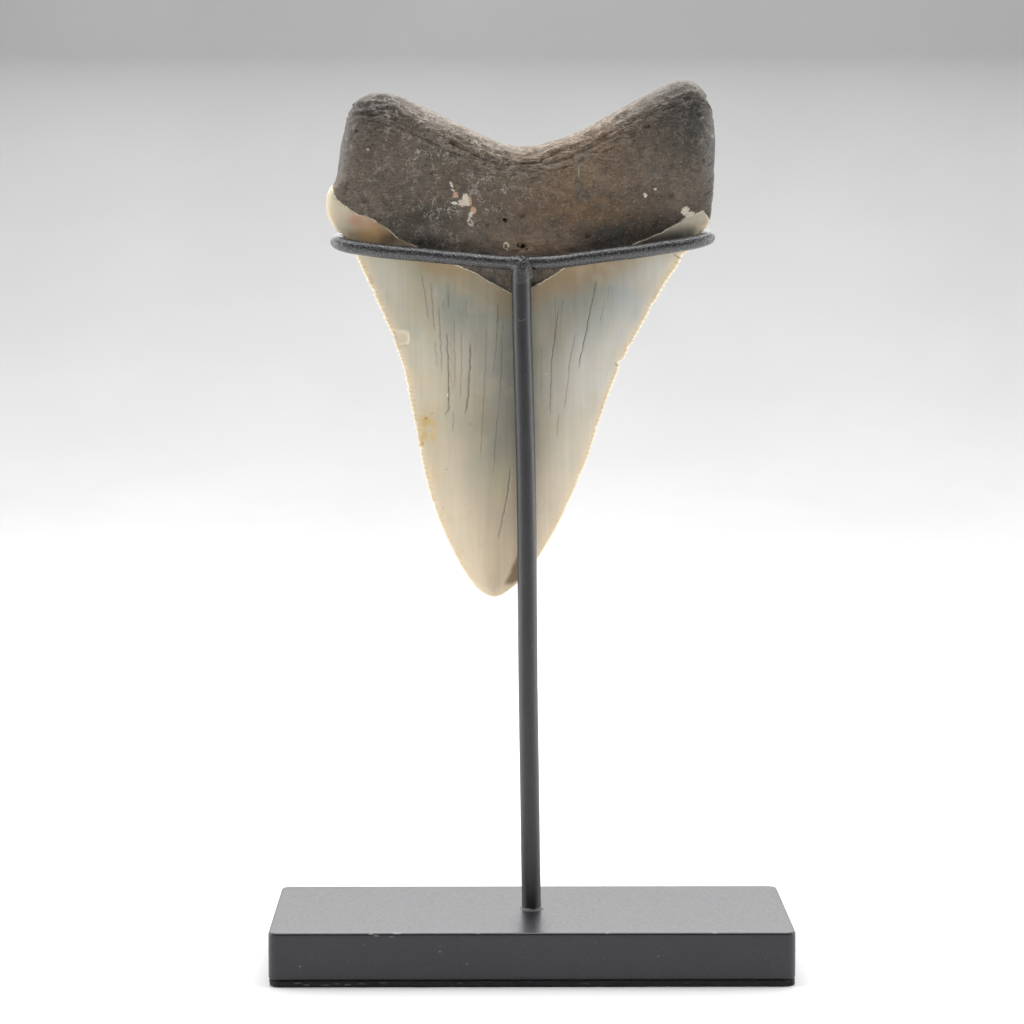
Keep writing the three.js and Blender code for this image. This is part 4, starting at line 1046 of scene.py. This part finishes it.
# ------------------------------------------------------------------ paints
def paint(name, base, rough_lo, rough_hi, grain, bump_mm, speck=0.0, streak=False, spec=0.5, coarse=0.0, marks=(), run=None, painted_glint=None):
    m = Nodes(name)
    p = m.mm()
    g = m.noise(p, grain, 4, 0.6)
    big = m.noise(p, 0.12, 4, 0.55)
    c = m.mix(m.ramp(g, 0.3, 0.7), tuple(v * 0.82 for v in base), tuple(v * 1.2 for v in base))
    c = m.mix(m.ramp(big, 0.4, 0.7, 0, 0.35), c, tuple(v * 1.35 + 0.004 for v in base))
    if speck:
        d = m.voronoi(m.mm((1, 1, 1), (2, 7, 4)), 0.85)
        q = m.voronoi(m.mm((1, 1, 1), (2, 7, 4)), 0.85, output="Color")
        dot = m.math("MULTIPLY", m.ramp(d, 0.075, 0.035), m.ramp(q, 0.66, 0.71))
        c = m.mix(m.math("MULTIPLY", dot, speck), c, (0.30, 0.29, 0.28))
    # Painted glints: pale dots mixed into the paint's colour stand in for the glints of the powder coat.
    if painted_glint:
        c = m.mix(m.ramp(m.noise(m.mm((1, 1, 1), (13, 5, 21)), 4.6, 2, 0.6), 0.54, 0.64, 0.0, 0.9), c, painted_glint)
    rough = m.ramp(m.noise(p, grain * 0.7, 3, 0.6), 0.3, 0.7, rough_lo, rough_hi, "LINEAR")
    h = m.math("MULTIPLY", g, bump_mm)
    if marks:
        torn = m.math("MULTIPLY", m.math("SUBTRACT", m.noise(p, 2.2, 3, 0.6), 0.5), 1.5)
        for centre, half, hue, much in marks:
            d = m.vmath2(m.vmath("DIVIDE", m.vmath("SUBTRACT", p, centre), half))
            w = m.ramp(m.math("ADD", d, torn), 1.15, 0.65, 0.0, much)
            c = m.mix(w, c, hue)
            h = m.math("SUBTRACT", h, m.math("MULTIPLY", w, 0.03))
    if coarse:
        h = m.math("ADD", h, m.math("MULTIPLY", m.noise(p, 0.8, 3, 0.5), coarse))
    if streak:
        # Darker towards the bottom of the post.
        c = m.mix(m.ramp(m.dot(p, (0, 0, 1)), 80, 12, 0.0, 0.80, "LINEAR"), c, (0.006, 0.006, 0.007))
        h = m.math("ADD", h, m.math("MULTIPLY", m.noise(m.mm((1.0, 1.0, 0.3)), 0.8, 3, 0.6), 0.03))
    if run:
        low = m.ramp(m.dot(p, (0, 0, 1)), run[1], run[0])
        c = m.mix(low, c, run[2])
        rough = m.fmix(low, rough, run[3])
        h = m.math("MULTIPLY", h, m.math("SUBTRACT", 1.0, m.math("MULTIPLY", low, 0.93)))
    m.set(Base_Color=c, Roughness=rough, Normal=m.bump(h, 1.0, 0.001))
    m.bsdf.inputs["Specular IOR Level"].default_value = spec
    return m.mat


def dress(ob, mat, replaces=None):
    ob.data.materials.clear()
    ob.data.materials.append(mat)
    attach(ob, "root")
    if replaces:
        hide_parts(replaces)


# ------------------------------------------------------------------ build the object
tooth = build_tooth()
dress(tooth, tooth_material(), "megalodon_tooth")

# The near-black mark beside the weld's ridge is painted shade standing in for a small recess.
wire_mat = paint("cradle_paint", (0.015, 0.015, 0.0165), 0.15, 0.26, 3.4, 0.120, spec=0.9, run=(117.9, 119.3, (0.0215, 0.021, 0.0235), 0.42), marks=[((0.42, -0.4, 119.15), (0.42, 1.6, 0.28), (0.003, 0.003, 0.003), 0.95)], painted_glint=(0.130, 0.126, 0.137))
LIGHT = (0.085, 0.085, 0.085)
nicks = [((x, -1.2, z), (w, 0.9, t), LIGHT, 0.75) for x, z, w, t in (
    (-2.55, 110.75, 0.30, 0.09), (-2.1, 110.50, 0.30, 0.09), (-1.65, 110.42, 0.32, 0.09), (-1.15, 110.55, 0.30, 0.09), (-0.75, 110.85, 0.2, 0.10),
    (0.0, 113.2, 0.16, 0.10), (0.05, 109.4, 0.16, 0.09), (0.05, 105.4, 0.18, 0.10), (0.05, 101.6, 0.15, 0.09), (0.0, 97.9, 0.14, 0.10),
    (-0.9, 101.2, 0.10, 0.22), (-1.5, 92.4, 0.09, 0.20), (-0.2, 80.5, 0.08, 0.24), (-1.2, 66.0, 0.09, 0.2), (0.3, 55.0, 0.08, 0.3),
    (-0.9, 44.2, 0.09, 0.16), (0.6, 31.0, 0.08, 0.25), (-0.6, 22.5, 0.1, 0.16))]
post_mat = paint("post_paint", (0.0212, 0.0206, 0.0236), 0.36, 0.48, 2.2, 0.012, streak=True, spec=0.75, marks=nicks)
scuffs = [((x, y, z), half, (0.20, 0.195, 0.19), much) for x, y, z, half, much in (
    (-25.9, -19.0, 8.75, (0.5, 0.4, 0.16), 0.7), (-26.8, -18.9, 9.1, (0.35, 0.4, 0.14), 0.8), (-23.4, -19.0, 8.6, (0.6, 0.4, 0.12), 0.5),
    (-22.6, -18.7, 9.2, (0.8, 0.5, 0.2), 0.7), (-38.6, -19.0, 3.6, (0.2, 0.4, 0.2), 0.5), (-15.4, -19.0, 6.1, (0.2, 0.4, 0.16), 0.5),
    (-10.8, -19.0, 4.0, (0.3, 0.4, 0.14), 0.4), (21.0, -19.0, 5.2, (0.25, 0.4, 0.14), 0.4), (30.4, -18.8, 9.15, (0.5, 0.4, 0.14), 0.5),
    (12.5, -18.9, 9.15, (0.35, 0.4, 0.12), 0.5), (-9.0, -18.9, 9.15, (0.4, 0.4, 0.12), 0.4))]
base_mat = paint("base_paint", (0.0102, 0.0088, 0.0146), 0.27, 0.36, 2.2, 0.006, speck=0.45, spec=0.62, marks=scuffs)
wisps = [((x, -18.9, z), (w, 0.5, t), (0.17, 0.16, 0.15), much) for x, z, w, t, much in (
    (-39.0, 0.75, 0.7, 0.12, 0.6), (-37.6, 0.45, 0.6, 0.12, 0.7), (-34.4, 0.40, 0.9, 0.12, 0.6), (-32.6, 0.62, 0.6, 0.12, 0.7),
    (-30.8, 0.50, 0.6, 0.14, 0.8), (-28.4, 0.66, 0.7, 0.12, 0.5), (-24.9, 0.80, 0.7, 0.10, 0.6), (-12.0, 0.7, 0.6, 0.1, 0.35),
    (9.0, 0.6, 0.7, 0.1, 0.3), (26.0, 0.7, 0.6, 0.1, 0.35))]
pad_mat = paint("pad_sheet", (0.0175, 0.0175, 0.0185), 0.6, 0.9, 1.6, 0.35, spec=0.35, marks=wisps)

wire = bar("cradle_wire", WIRE, WIRE_R, 760, 40, rough=0.05, seed=301)
dress(wire, wire_mat, "cradle_ring")
post = bar("post_rod", POST, POST_R, 300, 44, rough=0.02, seed=311, reference=(0, 1, 0), end_round=0)
dress(post, post_mat, "post")


def bead(name, balls, voxel, rough, seed):
    """One lump made of overlapping balls, its surface roughened."""
    bm = bmesh.new()
    for x, y, z, r in balls:
        got = bmesh.ops.create_icosphere(bm, subdivisions=4, radius=r * MM)
        bmesh.ops.translate(bm, verts=got["verts"], vec=(x * MM, y * MM, z * MM))
    mesh = bpy.data.meshes.new(name)
    bm.to_mesh(mesh)
    bm.free()
    ob = bpy.data.objects.new(name, mesh)
    bpy.context.scene.collection.objects.link(ob)
    mod = ob.modifiers.new("join", "REMESH")
    mod.mode, mod.voxel_size = "VOXEL", voxel * MM
    soft = ob.modifiers.new("soft", "SMOOTH")
    soft.factor, soft.iterations = 0.5, 9
    made = bpy.data.meshes.new_from_object(ob.evaluated_get(bpy.context.evaluated_depsgraph_get()))
    ob.modifiers.clear()
    ob.data = made
    n = len(made.vertices)
    v = np.empty(n * 3, np.float32)
    nv = np.empty(n * 3, np.float32)
    made.vertices.foreach_get("co", v)
    made.vertices.foreach_get("normal", nv)
    v, nv = v.reshape(-1, 3) / MM, nv.reshape(-1, 3)
    v = v + nv * (rough * fbm(v / 0.9, 3, seed) + 0.5 * rough * noise(v / 0.33, seed + 7))[:, None]
    made.vertices.foreach_set("co", (v * MM).astype(np.float32).ravel())
    made.polygons.foreach_set("use_smooth", np.ones(len(made.polygons), bool))
    made.update()
    return ob


ridge = [(-1.5, -0.80, 121.05), (-1.15, -1.02, 120.75), (-0.8, -1.16, 120.3), (-0.45, -1.16, 119.85), (-0.18, -1.05, 119.35),
         (-0.05, -0.88, 118.8), (-0.02, -0.70, 118.2), (-0.04, -0.5, 117.7)]
column = [(-1.67 + 0.006 * k, 0.13 - 0.012 * k, 117.0 + 0.2 * k, 1.675 - 0.012 * max(k - 8, 0)) for k in range(14)]
saddle = [(-3.8 + 0.22 * k, 0.40 - 0.028 * k - 0.010 * k * (12 - k) / 4, 120.17 - 0.005 * k, 1.17 + 0.0042 * k * (12 - k)) for k in range(13)]
weld = bead("weld_bead", column + saddle + [(-2.45, -0.56, 120.48, 0.66), (-1.95, -0.66, 120.32, 0.70), (-1.5, -0.66, 120.05, 0.70), (-2.3, -0.50, 119.9, 0.66)]
            + [(x, y, z, 0.36) for x, y, z in ridge], 0.09, 0.035, 401)
dress(weld, wire_mat)

# line of paint where post and block meet
fa = np.linspace(0, 2 * np.pi, 72, endpoint=False)
fv, ff = [], []
for k, (r, z) in enumerate(((1.60, 9.0), (1.62, 9.62), (1.68, 9.50), (1.76, 9.36), (1.90, 9.25), (2.08, 9.205), (2.12, 9.0))):
    swell = 1 + (0.05 * np.sin(3 * fa + 1) + 0.05 * np.sin(7 * fa + 2) + 0.12 * np.exp(-((fa - 5.9) / 0.25) ** 2)) * (0.2 if k < 3 else 1.0)
    for a, w in zip(fa, swell):
        fv.append((0.12 + r * w * math.cos(a), r * w * math.sin(a), z))
for k in range(7):
    for j in range(72):
        a, b = k * 72, ((k + 1) % 7) * 72
        ff.append((a + j, a + (j + 1) % 72, b + (j + 1) % 72, b + j))
foot = make("post_foot_fillet", fv, ff)
dress(foot, post_mat)
block = slab("base_slab", 88, 38, 1.2, 9.2, 1.6, 0.4)
dress(block, base_mat, "base_block")
pad = slab("pad_sheet", 88, 38, 0.0, 1.2, 2.0, 0.3, wave=0.22, seed=321)
dress(pad, pad_mat, "foot_pad")

# ------------------------------------------------------------------ stage, light, camera
floor_mat = Nodes("studio_sheet")
fp = floor_mat.mm()
floor_mat.set(Base_Color=floor_mat.mix(floor_mat.ramp(floor_mat.noise(fp, 0.01, 3), 0.3, 0.7), (0.70, 0.70, 0.70), (0.73, 0.73, 0.73)), Roughness=0.9)
fv, ff = [], []
prof = [(-4.0, 0.0), (0.75, 0.0)]
for i in range(1, 13):
    a = math.pi / 2 * i / 12
    prof.append((0.75 + 0.35 * math.sin(a), 0.35 * (1 - math.cos(a))))
prof.append((1.1, 1.6))
for y, z in prof:
    fv += [(-3.0, y, z), (3.0, y, z)]
for i in range(len(prof) - 1):
    ff.append((2 * i, 2 * i + 1, 2 * i + 3, 2 * i + 2))
fm = bpy.data.meshes.new("studio_sheet")
fm.from_pydata(fv, [], ff)
fm.polygons.foreach_set("use_smooth", np.ones(len(ff), bool))
sheet = bpy.data.objects.new("studio_sheet", fm)
bpy.context.scene.collection.objects.link(sheet)
sheet.data.materials.append(floor_mat.mat)


def area(name, loc, target, w, h, power, colour=(1, 1, 1)):
    data = bpy.data.lights.new(name, "AREA")
    data.shape, data.size, data.size_y, data.energy, data.color = "RECTANGLE", w, h, power, colour
    ob = bpy.data.objects.new(name, data)
    bpy.context.scene.collection.objects.link(ob)
    ob.location = loc
    ob.rotation_euler = (Vector(target) - Vector(loc)).to_track_quat("-Z", "Y").to_euler()
    return ob


def panel(name, loc, target, w, h, glow, colour=(1, 1, 1)):
    area(name, loc, target, w, h, glow * math.pi * w * h, colour)


panel("top_soft", (0, 0.03, 0.66), (0, 0.0, 0.08), 0.9, 0.46, 5.0)
panel("top_back", (0, 0.42, 0.56), (0, 0.02, 0.08), 0.9, 0.25, 3.0)
panel("back_wall", (0, 0.95, 0.50), (0, 0.0, 0.1), 1.8, 0.50, 2.5)
panel("left_wall", (-0.60, 0.12, 0.17), (0, 0, 0.10), 0.62, 0.52, 3.1)
panel("left_front", (-0.50, -0.34, 0.17), (0, 0, 0.10), 0.34, 0.46, 0.38)
panel("right_wall", (0.60, 0.12, 0.17), (0, 0, 0.10), 0.62, 0.52, 3.1)
panel("right_front", (0.50, -0.34, 0.17), (0, 0, 0.10), 0.34, 0.46, 0.38)
panel("low_front", (0, -0.21, 0.004), (0, -0.20, 1.0), 0.8, 0.28, 0.41)

world = bpy.data.worlds.new("studio")
bpy.context.scene.world = world
world.use_nodes = True
bg = world.node_tree.nodes["Background"]
bg.inputs[0].default_value = (1, 1, 1, 1)
bg.inputs[1].default_value = 0.10

cam_data = bpy.data.cameras.new("camera")
cam = bpy.data.objects.new("camera", cam_data)
bpy.context.scene.collection.objects.link(cam)
cam.location = (-0.007044, -0.538762, 0.126208)
cam.rotation_euler = (math.radians(90 - 5.1329), 0, -math.radians(0.4060))
cam_data.sensor_width = 36
cam_data.lens = 111.65
cam_data.clip_start = 0.02
bpy.context.scene.camera = cam
bpy.context.scene.view_settings.view_transform = "Standard"
